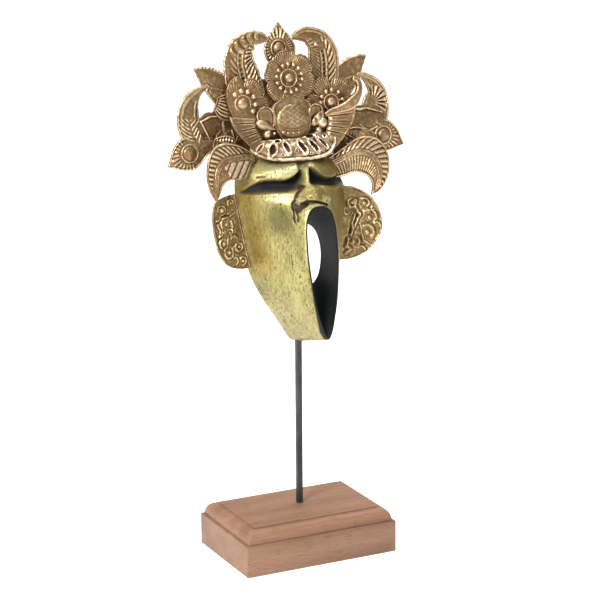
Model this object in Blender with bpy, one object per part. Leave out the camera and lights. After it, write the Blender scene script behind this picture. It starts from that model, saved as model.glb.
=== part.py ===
"""Wooden mask with a sheet-metal crown, on an iron rod and a moulded wood base.

Lengths are in millimetres and are turned into metres by MM where meshes are made.
The base stands on the ground plane with the centre of its underside at the origin, its long
side along X, and the mask faces -Y. The mask and its ornaments are drawn in the mask's own
leaning frame: x to the right, height up from the chin, depth forward from the crown's sheet.
"""
import bpy
import bmesh
import numpy as np
from math import cos, pi, radians, sin

MM = 0.001

# Driving dimensions
BASE_LENGTH = 134.0
BASE_DEPTH = 92.0
SLAB_HEIGHT = 26.0
BASE_HEIGHT = 37.5
MOULDING_WIDTH = 11.5
MOULDING_STEP = 1.3
BASE_SOCKET_DEPTH = 16.0
ROD_SIDE = 4.5
ROD_X = 3.0
ROD_Y = 2.5
ROD_FREE_LENGTH = 135.4
CHIN_SOCKET_DEPTH = 17.0
CHIN_WALL = 2.2
FIT_GAP = 0.3
MASK_LEAN = 8.6
MASK_HEIGHT = 257.5
SHEET = 1.6

# One carving unit: the mask's free forms below are drawn as if the mask were 257.5 mm high
UNIT = MASK_HEIGHT / 257.5
ROD_DEPTH = -7.3 * UNIT

# Wooden face, as half outlines of (x, height) from the chin up to the middle of the top
BACK_OUTLINE = [(0, 1.5), (6.5, 5), (12.5, 14.5), (20, 26), (28, 38.5), (35, 51), (41, 66),
                (45.5, 88), (48.3, 108), (49.3, 125), (47.5, 140), (39.5, 152), (23, 159), (0, 161)]
RIM_OUTLINE = [(0, 5), (2.6, 8), (5.5, 17), (8.6, 33), (10.9, 50), (12.7, 70), (13, 85),
               (12.5, 97), (10.2, 106.5), (5.8, 111.3), (0, 112.6)]
HOLLOW_OUTLINE = [(0, 37), (9, 38.5), (18, 44), (27, 55), (34, 70), (38.5, 90), (41, 110),
                  (41.5, 124), (38.5, 137), (30, 146), (16, 151), (0, 152.5)]
THROAT_OUTLINE = [(0, 46.5), (8, 48.5), (14.2, 56), (17.3, 68), (17.4, 80), (14.2, 91),
                  (8, 96.8), (0, 98.5)]
RIM_DEPTH = 50.0
RIM_LIP = 0.6
MOUTH_MIDDLE = 58.0
MOUTH_HALF_WIDTH = 13.0
MOUTH_HALF_HEIGHT = 54.0
HOLLOW_DEPTH = 9.0
TOP_WALL = 6.0
FACE_FALL = 1.06
FACE_AROUND = 40
FACE_OUT = 11

# Nose and eye hollows as rows of (x, height, half width, depth of the back)
NOSE = [(0, 145, 3, 12), (0, 140, 3.6, 20.5), (0, 133, 5.5, 28), (0, 126, 9, 31.5), (0, 120.5, 12.5, 33),
        (0, 117, 13, 33.5), (0, 115.5, 11, 33)]
EYE = [(6.2, 141.5, 0.5, 17), (7.6, 137.5, 2.2, 17), (11.5, 133.8, 3.2, 17), (18, 132.4, 3.4, 16),
       (30, 131.6, 3.3, 12), (39, 130, 2.6, 8), (46.5, 127.2, 0.8, 5)]


def collection(name):
    made = bpy.data.collections.new(name)
    bpy.context.scene.collection.children.link(made)
    return made


def material(name, colour, roughness, metallic):
    made = bpy.data.materials.new(name)
    made.use_nodes = True
    shader = made.node_tree.nodes["Principled BSDF"]
    shader.inputs["Base Color"].default_value = (*colour, 1)
    shader.inputs["Roughness"].default_value = roughness
    shader.inputs["Metallic"].default_value = metallic
    return made


def smoothstep(low, high, value):
    share = np.clip((value - low) / (high - low), 0, 1)
    return share * share * (3 - 2 * share)


def curve_through(rows, count):
    """Even steps along a smooth Catmull-Rom curve through rows of (x, height, ...)."""
    knots = np.array(rows, float)
    ends = np.vstack([2 * knots[0] - knots[1], knots, 2 * knots[-1] - knots[-2]])
    place = np.linspace(0, len(knots) - 1, 30 * (len(knots) - 1) + 1)
    first = np.minimum(place.astype(int), len(knots) - 2)
    f = (place - first)[:, None]
    a, b, c, d = (ends[first + k] for k in range(4))
    fine = b + 0.5 * f * (c - a + f * (2 * a - 5 * b + 4 * c - d + f * (3 * b - a - 3 * c + d)))
    steps = np.linalg.norm(np.diff(fine[:, :2], axis=0), axis=1)
    travelled = np.concatenate([[0], np.cumsum(steps)])
    wanted = np.linspace(0, travelled[-1], count)
    return np.stack([np.interp(wanted, travelled, column) for column in fine.T], axis=1)


def new_mesh(name, points, faces):
    """A mesh from rows of (x, depth, height) in millimetres; forward is -Y in the leaning frame."""
    points = np.asarray(points, float)
    placed = np.stack([points[:, 0], -points[:, 1], points[:, 2]], axis=1) * MM
    mesh = bpy.data.meshes.new(name)
    mesh.from_pydata(placed.tolist(), [], faces)
    shell = bmesh.new()
    shell.from_mesh(mesh)
    bmesh.ops.remove_doubles(shell, verts=shell.verts, dist=1e-6)
    bmesh.ops.dissolve_degenerate(shell, edges=shell.edges, dist=1e-6)
    bmesh.ops.recalc_face_normals(shell, faces=shell.faces)
    shell.to_mesh(mesh)
    shell.free()
    return mesh


def place(name, mesh, home, skin, parent=None):
    made = bpy.data.objects.new(name, mesh)
    home.objects.link(made)
    made.parent = parent
    mesh.materials.clear()
    mesh.materials.append(skin)
    return made


def hide(made):
    made.hide_render = True
    made.display_type = 'WIRE'
    return made


def box_mesh(name, low, high):
    """A box between two corners in millimetres, in world axes."""
    bm = bmesh.new()
    bmesh.ops.create_cube(bm, size=1)
    size = [(b - a) * MM for a, b in zip(low, high)]
    middle = [(b + a) / 2 * MM for a, b in zip(low, high)]
    bmesh.ops.scale(bm, verts=bm.verts, vec=size)
    bmesh.ops.translate(bm, verts=bm.verts, vec=middle)
    mesh = bpy.data.meshes.new(name)
    bm.to_mesh(mesh)
    bm.free()
    return mesh


def boolean(target, operation, operand):
    cut = target.modifiers.new(operation.lower(), 'BOOLEAN')
    cut.operation = operation
    cut.solver = 'EXACT'
    if isinstance(operand, bpy.types.Collection):
        cut.operand_type = 'COLLECTION'
        cut.collection = operand
    else:
        cut.object = operand


# Base: one block with a moulded top edge, and a socket for the rod

def moulding_profile():
    """Inset and height of each rectangle that the block is lofted through."""
    low = SLAB_HEIGHT
    high = BASE_HEIGHT - MOULDING_STEP
    outer = MOULDING_STEP
    inner = MOULDING_WIDTH - MOULDING_STEP
    turns = np.linspace(0, pi / 2, 6)
    rows = [(0, 0), (0, low), (outer, low)]
    rows += [(inner - (inner - outer) * cos(turn), low + (high - low) * sin(turn)) for turn in turns]
    rows += [(MOULDING_WIDTH, high), (MOULDING_WIDTH, BASE_HEIGHT)]
    return rows


def make_base(home, cutters, skin):
    points = []
    for inset, height in moulding_profile():
        x = BASE_LENGTH / 2 - inset
        y = BASE_DEPTH / 2 - inset
        points += [(-x, -y, height), (x, -y, height), (x, y, height), (-x, y, height)]
    rings = len(points) // 4
    faces = [(3, 2, 1, 0), tuple(range(4 * rings - 4, 4 * rings))]
    for ring in range(rings - 1):
        for side in range(4):
            a = 4 * ring + side
            b = 4 * ring + (side + 1) % 4
            faces.append((a, b, b + 4, a + 4))
    base = place("base", new_mesh("base", points, faces), home, skin)
    reach = ROD_SIDE / 2 + FIT_GAP
    low = (ROD_X - reach, ROD_Y - reach, BASE_HEIGHT - BASE_SOCKET_DEPTH - FIT_GAP)
    high = (ROD_X + reach, ROD_Y + reach, BASE_HEIGHT + 5)
    socket = hide(place("base_socket", box_mesh("base_socket", low, high), cutters, skin))
    boolean(base, 'DIFFERENCE', socket)


# Rod: a square bar standing in the base and plugged into the chin

def make_rod(home, skin):
    half = ROD_SIDE / 2
    low = (ROD_X - half, ROD_Y - half, BASE_HEIGHT - BASE_SOCKET_DEPTH)
    high = (ROD_X + half, ROD_Y + half, BASE_HEIGHT + ROD_FREE_LENGTH + CHIN_SOCKET_DEPTH)
    place("rod", box_mesh("rod", low, high), home, skin)


# Face: a ring of carved wood around the mouth, hollow behind

def back_depth(height):
    """Depth of the wood's back face, deepest at the chin where the rod goes in."""
    chin = ROD_DEPTH / UNIT - (ROD_SIDE / 2 + CHIN_WALL) / UNIT
    return chin * (1 - smoothstep(-30, 135, height))


def brow_relief(x, height):
    """How far the brow and forehead stand out from the plain swelling of the face."""
    return 11 * np.exp(-((height - 143.5) / 7.5) ** 2) * (1 - smoothstep(20, 42, np.abs(x)))


def full_ring(outline, half_count):
    """The whole closed outline from its half: up the right side and down the left."""
    right = curve_through(outline, half_count + 1)
    left = right[-2:0:-1] * (-1, 1)
    return np.vstack([right, left])


def face_grid(around, out):
    """Closed rings of points: out over the face, round the edge, and back through the mouth."""
    rim = full_ring(RIM_OUTLINE, around // 2)
    back = full_ring(BACK_OUTLINE, around // 2)
    hollow = full_ring(HOLLOW_OUTLINE, around // 2)
    throat = full_ring(THROAT_OUTLINE, around // 2)
    rings = []
    edge = back_depth(back[:, 1])
    top_wall = TOP_WALL * smoothstep(135, 157, back[:, 1])
    for share in np.linspace(0, 1, out + 1):
        place_on = rim + (back - rim) * share
        depth = edge + (RIM_DEPTH - edge) * (1 - share ** FACE_FALL) + top_wall * share ** 7
        fade = min(1, share * 9, (1 - share) * 6)
        depth = depth + fade * brow_relief(place_on[:, 0], place_on[:, 1])
        rings.append(np.column_stack([place_on[:, 0], depth, place_on[:, 1]]))
    rings.append(np.column_stack([back[:, 0], edge, back[:, 1]]))
    rings.append(np.column_stack([hollow[:, 0], back_depth(hollow[:, 1]), hollow[:, 1]]))
    for share, sink in ((0.12, 0.72), (0.5, 1.0), (1.0, 1.0)):
        place_on = hollow + (throat - hollow) * share
        behind = back_depth(place_on[:, 1])
        depth = behind + (HOLLOW_DEPTH - behind) * sink
        rings.append(np.column_stack([place_on[:, 0], depth, place_on[:, 1]]))
    lip = rim.copy()
    lip[:, 0] *= 1 - RIM_LIP / MOUTH_HALF_WIDTH
    lip[:, 1] = MOUTH_MIDDLE + (lip[:, 1] - MOUTH_MIDDLE) * (1 - RIM_LIP / MOUTH_HALF_HEIGHT)
    for share in (0.35, 0.7, 1.0):
        place_on = throat + (lip - throat) * share
        depth = np.full(len(lip), HOLLOW_DEPTH + (RIM_DEPTH - RIM_LIP - HOLLOW_DEPTH) * share)
        rings.append(np.column_stack([place_on[:, 0], depth, place_on[:, 1]]))
    return np.array(rings) * UNIT


def make_face(home, cutters, frame, skin):
    grid = face_grid(FACE_AROUND, FACE_OUT)
    rings, count = grid.shape[:2]
    faces = []
    for ring in range(rings):
        for step in range(count):
            following = (step + 1) % count
            above = (ring + 1) % rings
            faces.append((ring * count + step, ring * count + following,
                          above * count + following, above * count + step))
    face = place("face", new_mesh("face", grid.reshape(-1, 3), faces), home, skin, frame)
    reach = ROD_SIDE / 2 + FIT_GAP
    top = BASE_HEIGHT + ROD_FREE_LENGTH + CHIN_SOCKET_DEPTH + FIT_GAP
    low = (ROD_X - reach, ROD_Y - reach, BASE_HEIGHT + ROD_FREE_LENGTH - 20)
    high = (ROD_X + reach, ROD_Y + reach, top)
    socket = hide(place("chin_socket", box_mesh("chin_socket", low, high), cutters, skin))
    nose = hide(place("nose", new_mesh("nose", *blade(NOSE, 7, crest=4.5, under=7)), cutters, skin, frame))
    boolean(face, 'UNION', nose)
    for side in (-1, 1):
        shape = blade(EYE, 9, crest=0, under=25, side=side)
        eye = hide(place("eye_hollow", new_mesh("eye_hollow", *shape), cutters, skin, frame))
        boolean(face, 'DIFFERENCE', eye)
    boolean(face, 'DIFFERENCE', socket)


# Sheet ornaments: blades lofted along a curve, domes and rings, joined into one body

def blade(rows, stations, crest=1.6, under=SHEET, tilt=0.0, side=1, narrow=False):
    """Points and faces of a leaf along rows of (x, height, half width, depth of its back).

    Its section has a flat back, thin edges, and a front that rises to a crest in the middle.
    """
    line = curve_through(rows, stations)
    run = np.gradient(line[:, :2], axis=0)
    run /= np.linalg.norm(run, axis=1)[:, None]
    across = np.column_stack([run[:, 1], -run[:, 0]])
    spread = [-1, -1, 0, 1, 1] if narrow else [-1, -1, -0.5, 0, 0.5, 1, 1]
    lift = [0 if abs(share) == 1 and k in (0, len(spread) - 1) else under + crest * (1 - share * share)
            for k, share in enumerate(spread)]
    slim = np.minimum(1, line[:, 2] / 4)
    points = []
    for station in range(stations):
        for share, rise in zip(spread, lift):
            offset = share * line[station, 2]
            spot = line[station, :2] + across[station] * offset
            thick = min(rise, under) + max(0, rise - under) * slim[station]
            points.append((side * spot[0] * UNIT, (line[station, 3] + tilt * offset + thick) * UNIT,
                           spot[1] * UNIT))
    size = len(spread)
    faces = [tuple(range(size)), tuple(range((stations - 1) * size, stations * size))]
    for station in range(stations - 1):
        for k in range(size):
            a = station * size + k
            b = station * size + (k + 1) % size
            faces.append((a, b, b + size, a + size))
    return points, faces


def dome(x, height, depth, profile, sides=10, stretch=1.0):
    """Points and faces of a round boss from rows of (radius, rise), closed flat behind."""
    points = []
    for radius, rise in profile:
        for k in range(sides):
            turn = 2 * pi * k / sides
            points.append(((x + radius * cos(turn)) * UNIT, (depth + rise) * UNIT,
                           (height + stretch * radius * sin(turn)) * UNIT))
    rows = len(profile)
    faces = [tuple(range(sides)), tuple(range((rows - 1) * sides, rows * sides))]
    for row in range(rows - 1):
        for k in range(sides):
            a = row * sides + k
            b = row * sides + (k + 1) % sides
            faces.append((a, b, b + sides, a + sides))
    return points, faces


def boss_profile(radius, rise, back):
    """A ringed dome: a wall, a ring, a groove and the dome inside it."""
    return [(radius * 1.35, -back), (radius * 1.35, 0.35 * rise), (radius * 1.12, 0.5 * rise),
            (radius * 0.92, 0.3 * rise), (radius * 0.62, 0.85 * rise), (radius * 0.25, rise)]


def weld(name, shapes, home, blanks, frame, skin):
    """One body from overlapping closed shapes: the first takes the union of the others."""
    others = bpy.data.collections.new(name + "_shapes")
    blanks.children.link(others)
    body = place(name, new_mesh(name, *shapes[0]), home, skin, frame)
    for number, shape in enumerate(shapes[1:]):
        label = "%s_shape_%d" % (name, number)
        hide(place(label, new_mesh(label, *shape), others, skin, frame))
    boolean(body, 'UNION', others)


# Crown: the back sheet, with rows of (x, height, half width, depth of the back)
CROWN_FIELD = [(0, 150, 28, -2.2), (0, 160, 36, -2.2), (0, 172, 47, -2.2), (0, 186, 52, -2.2),
               (0, 199, 49, -2.2), (0, 208, 40, -2.2), (0, 214, 24, -2.2)]
TOP_DROP = [(-0.5, 206, 7, -1.5), (-0.5, 221, 8, -1.5), (-0.6, 230, 12.5, -1.5), (-0.8, 238, 13.6, -1.5),
            (-0.8, 246, 9.6, -1.5), (-0.7, 252.5, 4, -1.5), (-0.6, 257.5, 0.4, -1.5)]
TOP_CURL = [(35, 199, 12.5, -1.2), (37, 214, 13.3, -1.2), (37.3, 229, 13.6, -1.2), (33.5, 239.5, 10.5, -1.2),
            (25, 246.3, 5.6, -1.2), (17, 247.4, 3.2, -1.2), (9.5, 245.3, 1.0, -1.2)]
UPPER_LEAF = [(43, 198, 9, -1.8), (54, 209.5, 11, -1.8), (64, 218.5, 8.6, -1.8), (71, 223.7, 4.3, -1.8),
              (75.5, 226, 0.5, -1.8)]
UNDER_LEAF = [(44, 194, 7, -0.9), (52, 200, 7.5, -0.9), (60, 205.5, 5.5, -0.9), (67, 210, 2.2, -0.9)]
MID_CURL = [(77, 166, 8, -1.3), (82.3, 177, 9.5, -1.3), (84, 188, 9.6, -1.3), (82.4, 197, 8.2, -1.3),
            (78.2, 204.3, 5.6, -1.3), (72, 209.5, 3.2, -1.3), (66, 211.5, 1.5, -1.3)]
SIDE_DROP = [(71, 166, 7, -0.8), (79, 163.8, 11.5, -0.8), (87, 160.5, 13, -0.8), (94.5, 157, 9.6, -0.8),
             (100, 154.3, 4.2, -0.8), (104, 152.3, 0.5, -0.8)]
LUMP_LEAF = [(46, 182, 10, -1.7), (57, 181, 11.5, -1.7), (68, 178.5, 12, -1.7), (77, 174.5, 8, -1.7)]
SHELL_LEAF = [(45, 175, 8, -1.0), (54, 168, 9.8, 0.5), (61.5, 160, 9, 8.5), (65.5, 152, 5, 15.2)]
LOW_LEAF = [(39.2, 143.2, 9, 9.4), (48, 146, 11.3, 12), (58.5, 147, 13.3, 14.5), (68.3, 142.5, 12.4, 15.5),
            (73.6, 133.5, 8.7, 14.5), (73.9, 124.5, 4.6, 12), (69.5, 116.5, 0.5, 10)]
LOW_LEAF_LIFT = {-1: 3.4, 1: -3.4}


def lifted(rows, rise):
    return [(x, height + rise, *rest) for x, height, *rest in rows]


def make_crown(home, blanks, frame, skin):
    shapes = [blade(CROWN_FIELD, 9, crest=0.3), blade(TOP_DROP, 11)]
    shapes.append(dome(-1, 237.6, 1.2, boss_profile(4.6, 3.4, 1.0)))
    for side in (-1, 1):
        shapes.append(blade(TOP_CURL, 11, side=side))
        shapes.append(blade(UPPER_LEAF, 8, crest=1.2, side=side))
        shapes.append(blade(UNDER_LEAF, 6, crest=1.2, side=side))
        shapes.append(blade(MID_CURL, 10, side=side))
        shapes.append(blade(SIDE_DROP, 10, side=side))
        shapes.append(blade(LUMP_LEAF, 7, crest=2.0, side=side))
        shapes.append(blade(SHELL_LEAF, 7, crest=1.8, side=side))
        shapes.append(blade(lifted(LOW_LEAF, LOW_LEAF_LIFT[side]), 11, side=side))
        shapes.append(dome(side * 85.5, 161.2, 1.8, boss_profile(5.2, 3.2, 1.0)))
    weld("crown", shapes, home, blanks, frame, skin)


# Front ornament: three flowers, a winged medallion and a flared band on the forehead
FRONT_FIELD = [(0, 167, 22, 5), (0, 178, 35, 5), (0, 190, 40, 5), (0, 200, 34, 5), (0, 207, 22, 5)]
FEATHER = [(20, 179.5, 2.4, 6.3), (34, 184.3, 3.4, 9.3), (46, 188, 4.6, 13), (54.5, 193.5, 4.8, 15),
           (57.6, 201, 3.8, 15.5), (57.6, 207, 2.4, 15.5), (56, 211.5, 0.5, 15.5)]
WING_TIPS = [(55.5, 188), (53.5, 181.5), (50.7, 175), (47.5, 169), (43.5, 164)]
WING_ROOT_X = 24
WING_ROOT_TOP = 180.5
WING_ROOT_STEP = 2.3
WING_BACK = 6.4
WING_SWEEP = 8.2
ARCH = [(0, 161.5, 12.5, 6.4), (0, 172, 17, 6.4), (0, 182, 18, 6.4), (0, 190, 14.8, 6.4),
        (0, 196.5, 8.5, 6.4), (0, 199.8, 2.5, 6.4)]
MEDALLION = [(13.8, -1), (13.8, 1.2), (12.2, 2.4), (9, 3.4), (4, 4)]
VOLUTE = [(8.3, -3), (8.3, 2.0), (6.6, 3.4), (4.8, 2.0), (3.2, 3.6), (1.2, 4.2)]
BAND = [(-44.5, 165.5, 4.2, 13), (-37, 160.3, 6.6, 13.5), (-22, 157.3, 8.4, 17), (0, 156.6, 8.8, 19.2),
        (22, 157.3, 8.4, 17), (37, 160.3, 6.6, 13.5), (44.5, 165.5, 4.2, 13)]
FLOWER_RADIUS = 21.5
CENTRE_FLOWER = (0, 214, 8.2)
SIDE_FLOWERS = ((-1, 38.7, 196.0), (1, 38.7, 191.6))
SIDE_FLOWER_DEPTH = 5.2


def petal(x, height, depth, turn):
    """A rounded petal pointing away from the flower's centre."""
    shares = [(0.12, 0.13), (0.4, 0.3), (0.68, 0.42), (0.88, 0.36), (1.0, 0.16)]
    reach = FLOWER_RADIUS
    rows = [(x + reach * out * cos(turn), height + reach * out * sin(turn), reach * wide, depth)
            for out, wide in shares]
    return blade(rows, 6, crest=1.2, under=2.6, narrow=True)


def flower(x, height, depth, turns):
    shapes = [petal(x, height, depth + 0.5 * (k % 2), radians(turn)) for k, turn in enumerate(turns)]
    shapes.append(dome(x, height, depth + 3.2, boss_profile(5.0, 3.6, 1.5)))
    return shapes


def make_front(home, blanks, frame, skin):
    shapes = [blade(ARCH, 9, crest=0.8, under=7.4), blade(FRONT_FIELD, 7, crest=0.1, under=1.9)]
    shapes.append(dome(0, 183.3, 13.2, MEDALLION, sides=14, stretch=0.68))
    shapes.append(blade(BAND, 11, crest=0.9, under=3.0, tilt=0.55))
    shapes += flower(*CENTRE_FLOWER, (98, 38, 338, 278, 218, 158))
    for side, x, height in SIDE_FLOWERS:
        turns = [90 - side * turn for turn in (-30, 30, 90, -90)]
        shapes += flower(side * x, height, SIDE_FLOWER_DEPTH, turns)
        for number, (tip_x, tip_height) in enumerate(WING_TIPS):
            back = WING_BACK + 0.5 * (number % 2)
            root_height = WING_ROOT_TOP - WING_ROOT_STEP * number
            rows = [(WING_ROOT_X, root_height, 1.9, back),
                    ((tip_x + WING_ROOT_X) / 2, (tip_height + root_height) / 2, 3.1, back + WING_SWEEP / 2),
                    (tip_x, tip_height, 4.4, back + WING_SWEEP)]
            shapes.append(blade(rows, 4, crest=1.4, under=3.0, side=side, narrow=True))
        shapes.append(blade(FEATHER, 11, crest=1.2, under=2.8, side=side, narrow=True))
        shapes.append(dome(side * 24.5, 180, 11.5, VOLUTE))
    weld("front_ornament", shapes, home, blanks, frame, skin)


# Ears: curved plates at the sides, their outer edges turned forward
EAR = [(46.7, 64.3, 5.2, 1.2), (49.6, 68, 9.3, 2.4), (54.7, 76, 12, 3.6), (59.2, 87, 13.6, 4.6),
       (62, 100, 13.8, 4.8), (62, 112, 12.3, 4.4), (60, 120, 10.3, 3.6), (57.3, 125.6, 7, 2.6)]
EAR_TILT = 0.3
EAR_DROP = {-1: -2.0, 1: 2.0}
EAR_BOSSES = [(58, 114, 4.2), (66, 103, 4.6), (56, 99, 4.4), (64.5, 88.5, 4.6), (54, 82, 4.2), (51.5, 72, 3.2)]


def make_ear(side, label, home, blanks, frame, skin):
    rows = lifted(EAR, -EAR_DROP[side])
    shapes = [blade(rows, 10, crest=0.5, tilt=EAR_TILT, side=side)]
    centres, heights, _, depths = np.array(EAR).T
    for x, height, radius in EAR_BOSSES:
        back = np.interp(height, heights, depths) + EAR_TILT * (x - np.interp(height, heights, centres))
        profile = [(radius, -0.9), (radius, 0.9), (0.68 * radius, 0.7), (0.35 * radius, 2.6)]
        shapes.append(dome(side * x, height - EAR_DROP[side], back + SHEET, profile, 8))
    weld(label, shapes, home, blanks, frame, skin)


def main():
    for old in list(bpy.data.objects):
        bpy.data.objects.remove(old)
    parts = collection("wooden_mask")
    cutters = collection("cutters")
    wood = material("brown_wood", (0.32, 0.14, 0.06), 0.45, 0)
    iron = material("black_iron", (0.02, 0.02, 0.02), 0.5, 0.6)
    paint = material("gold_paint", (0.55, 0.42, 0.10), 0.45, 0.6)
    sheet = material("brown_brass", (0.45, 0.30, 0.14), 0.35, 0.9)
    frame = bpy.data.objects.new("mask_frame", None)
    parts.objects.link(frame)
    lean = radians(MASK_LEAN)
    frame.rotation_euler = (-lean, 0, 0)
    foot = BASE_HEIGHT + ROD_FREE_LENGTH
    frame.location = (ROD_X * MM, (ROD_Y + ROD_DEPTH * cos(lean)) * MM,
                      (foot - ROD_DEPTH * sin(lean)) * MM)
    make_base(parts, cutters, wood)
    make_rod(parts, iron)
    make_face(parts, cutters, frame, paint)
    make_crown(parts, cutters, frame, sheet)
    make_front(parts, cutters, frame, sheet)
    make_ear(-1, "ear_left", parts, cutters, frame, sheet)
    make_ear(1, "ear_right", parts, cutters, frame, sheet)


main()
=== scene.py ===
from math import cos, pi, radians, sin
from types import SimpleNamespace

import bpy
import numpy as np
from mathutils import Matrix, Vector


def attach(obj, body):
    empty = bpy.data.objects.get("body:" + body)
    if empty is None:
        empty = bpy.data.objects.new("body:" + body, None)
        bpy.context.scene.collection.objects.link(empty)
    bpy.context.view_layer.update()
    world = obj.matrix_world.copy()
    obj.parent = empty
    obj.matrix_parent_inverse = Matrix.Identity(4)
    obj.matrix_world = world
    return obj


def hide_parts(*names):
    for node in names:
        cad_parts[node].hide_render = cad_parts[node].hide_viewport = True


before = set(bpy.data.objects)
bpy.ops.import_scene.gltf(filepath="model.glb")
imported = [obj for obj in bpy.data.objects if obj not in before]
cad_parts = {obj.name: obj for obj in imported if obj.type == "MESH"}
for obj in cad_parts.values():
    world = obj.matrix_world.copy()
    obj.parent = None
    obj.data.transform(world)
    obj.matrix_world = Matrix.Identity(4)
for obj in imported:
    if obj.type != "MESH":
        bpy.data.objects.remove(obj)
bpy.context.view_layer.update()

# Floor, studio light and camera
# The mask stands on a plain pale floor under large soft panels. The camera looks a little down
# on it and from its right-hand side, so the picture shows the mask turned to the viewer's right.
MM = 0.001
PIXELS = 600.0
FOCAL_PIXELS = 2247.29
SENSOR = 36.0
VIEW_TURN = radians(-26.267)
VIEW_DROP = radians(14.601)
VIEW_ROLL = radians(-0.401)
VIEW_DISTANCE = 1800.0
AIM_RIGHT = 3.131
AIM_HEIGHT = 209.912
FLOOR_SIDE = 12.0
PANEL_AIM = (0, 0, 0.28)
FLOOR_COLOUR = (0.93, 0.93, 0.93)
FLOOR_GLOW = 0.45
WORLD_COLOUR = (1.0, 1.0, 1.0)
WORLD_STRENGTH = 0.58

view_back = Vector((sin(VIEW_TURN) * cos(VIEW_DROP), -cos(VIEW_TURN) * cos(VIEW_DROP), sin(VIEW_DROP)))
level_right = Vector((cos(VIEW_TURN), sin(VIEW_TURN), 0))
level_up = view_back.cross(level_right)
view_right = level_right * cos(VIEW_ROLL) + level_up * sin(VIEW_ROLL)
view_up = level_up * cos(VIEW_ROLL) - level_right * sin(VIEW_ROLL)
aim = Vector((0, 0, AIM_HEIGHT)) + level_right * AIM_RIGHT
camera = bpy.data.objects.new("camera", bpy.data.cameras.new("camera"))
camera.data.sensor_width = SENSOR
camera.data.lens = FOCAL_PIXELS * SENSOR / PIXELS
camera.data.clip_end = 50
camera.matrix_world = (Matrix.Translation((aim + view_back * VIEW_DISTANCE) * MM)
                       @ Matrix((view_right, view_up, view_back)).transposed().to_4x4())
bpy.context.scene.collection.objects.link(camera)
bpy.context.scene.camera = camera
bpy.context.scene.view_settings.view_transform = 'Standard'


def panel(name, place, side, power):
    """A square soft light at a place in metres, turned to the middle of the mask."""
    lamp = bpy.data.lights.new(name, 'AREA')
    lamp.size = side
    lamp.energy = power
    made = bpy.data.objects.new(name, lamp)
    made.location = place
    towards = Vector(PANEL_AIM) - made.location
    made.rotation_euler = towards.to_track_quat('-Z', 'Y').to_euler()
    bpy.context.scene.collection.objects.link(made)


panel("key_panel", (-1.3, -0.88, 1.36), 0.6, 43)
panel("front_panel", (0.35, -1.9, 0.9), 0.7, 1.2)
panel("top_panel", (0.2, 0.3, 2.2), 1.4, 35)

world = bpy.data.worlds.new("studio")
bpy.context.scene.world = world
world.use_nodes = True
world.node_tree.nodes["Background"].inputs["Color"].default_value = (*WORLD_COLOUR, 1)
world.node_tree.nodes["Background"].inputs["Strength"].default_value = WORLD_STRENGTH


def new_piece(name, points, faces, skin, smooth=True, **values):
    """A mesh from points in metres; each extra array is a value per point, kept as an attribute."""
    mesh = bpy.data.meshes.new(name)
    mesh.from_pydata(np.asarray(points).tolist(), [], faces)
    mesh.polygons.foreach_set("use_smooth", np.full(len(mesh.polygons), smooth))
    for label, column in values.items():
        layer = mesh.attributes.new(label, 'FLOAT', 'POINT')
        layer.data.foreach_set("value", np.asarray(column, np.float32))
    mesh.materials.append(skin)
    made = bpy.data.objects.new(name, mesh)
    bpy.context.scene.collection.objects.link(made)
    return made


def plain_material(name, colour, roughness, metallic=0.0):
    """A new material with one Principled shader and the values that are the same all over it."""
    made = bpy.data.materials.new(name)
    made.use_nodes = True
    shader = made.node_tree.nodes["Principled BSDF"]
    shader.inputs["Base Color"].default_value = (*colour, 1)
    shader.inputs["Roughness"].default_value = roughness
    shader.inputs["Metallic"].default_value = metallic
    return made, shader


floor_skin, floor_shader = plain_material("floor_paper", FLOOR_COLOUR, 0.9)
floor_shader.inputs["Emission Color"].default_value = (1, 1, 1, 1)
floor_shader.inputs["Emission Strength"].default_value = FLOOR_GLOW
floor_corners = np.array([(-1, -1, 0), (1, -1, 0), (1, 1, 0), (-1, 1, 0)]) * FLOOR_SIDE / 2
floor = new_piece("floor", floor_corners, [(0, 1, 2, 3)], floor_skin, smooth=False)


# Base block
# A single block of pale reddish hardwood lies with its grain along its long side. A quarter-round
# moulding with a small step above and below it is cut round its top, and the edges are eased.
BASE_LENGTH = 134.0
BASE_DEPTH = 92.0
SLAB_HEIGHT = 26.0
BASE_HEIGHT = 37.5
MOULDING_WIDTH = 11.5
MOULDING_STEP = 1.4
OUTER_LEDGE = 2.3
INNER_LEDGE = 1.9
EASED_EDGE = 0.5
CORNER_RADIUS = 1.1
CORNER_STEPS = 6
WOOD_LIGHT = (0.315, 0.162, 0.094)
WOOD_DARK = (0.185, 0.086, 0.045)
WOOD_PORE = (0.085, 0.038, 0.020)
# Painted shade on the slab's sides below the moulding, and the height over which it fades.
SLAB_SIDE_SHADE = (0.865, 0.865, 0.815)
SLAB_SHADE_FADE = 0.6


def add_node(tree, kind, **settings):
    """A shader node with its settings, and values for its inputs by name or number."""
    node = tree.nodes.new(kind)
    inputs = settings.pop("inputs", {})
    for key, value in settings.items():
        setattr(node, key, value)
    for key, value in inputs.items():
        if isinstance(value, bpy.types.NodeSocket):
            tree.links.new(value, node.inputs[key])
        else:
            node.inputs[key].default_value = value
    return node


def maths(tree, operation, first, second, clamp=False):
    """The result of one operation on two values, each of them a number or a socket."""
    return add_node(tree, 'ShaderNodeMath', operation=operation, use_clamp=clamp,
                    inputs={0: first, 1: second}).outputs[0]


def blend(tree, share, low, high, mode='MIX'):
    """A colour between two colours, either of which may be a colour or a socket."""
    node = add_node(tree, 'ShaderNodeMix', data_type='RGBA', blend_type=mode, clamp_factor=True)
    for key, value in ((0, share), (6, low), (7, high)):
        if isinstance(value, bpy.types.NodeSocket):
            tree.links.new(value, node.inputs[key])
        else:
            node.inputs[key].default_value = (*value, 1) if key else value
    return node.outputs[2]


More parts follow.
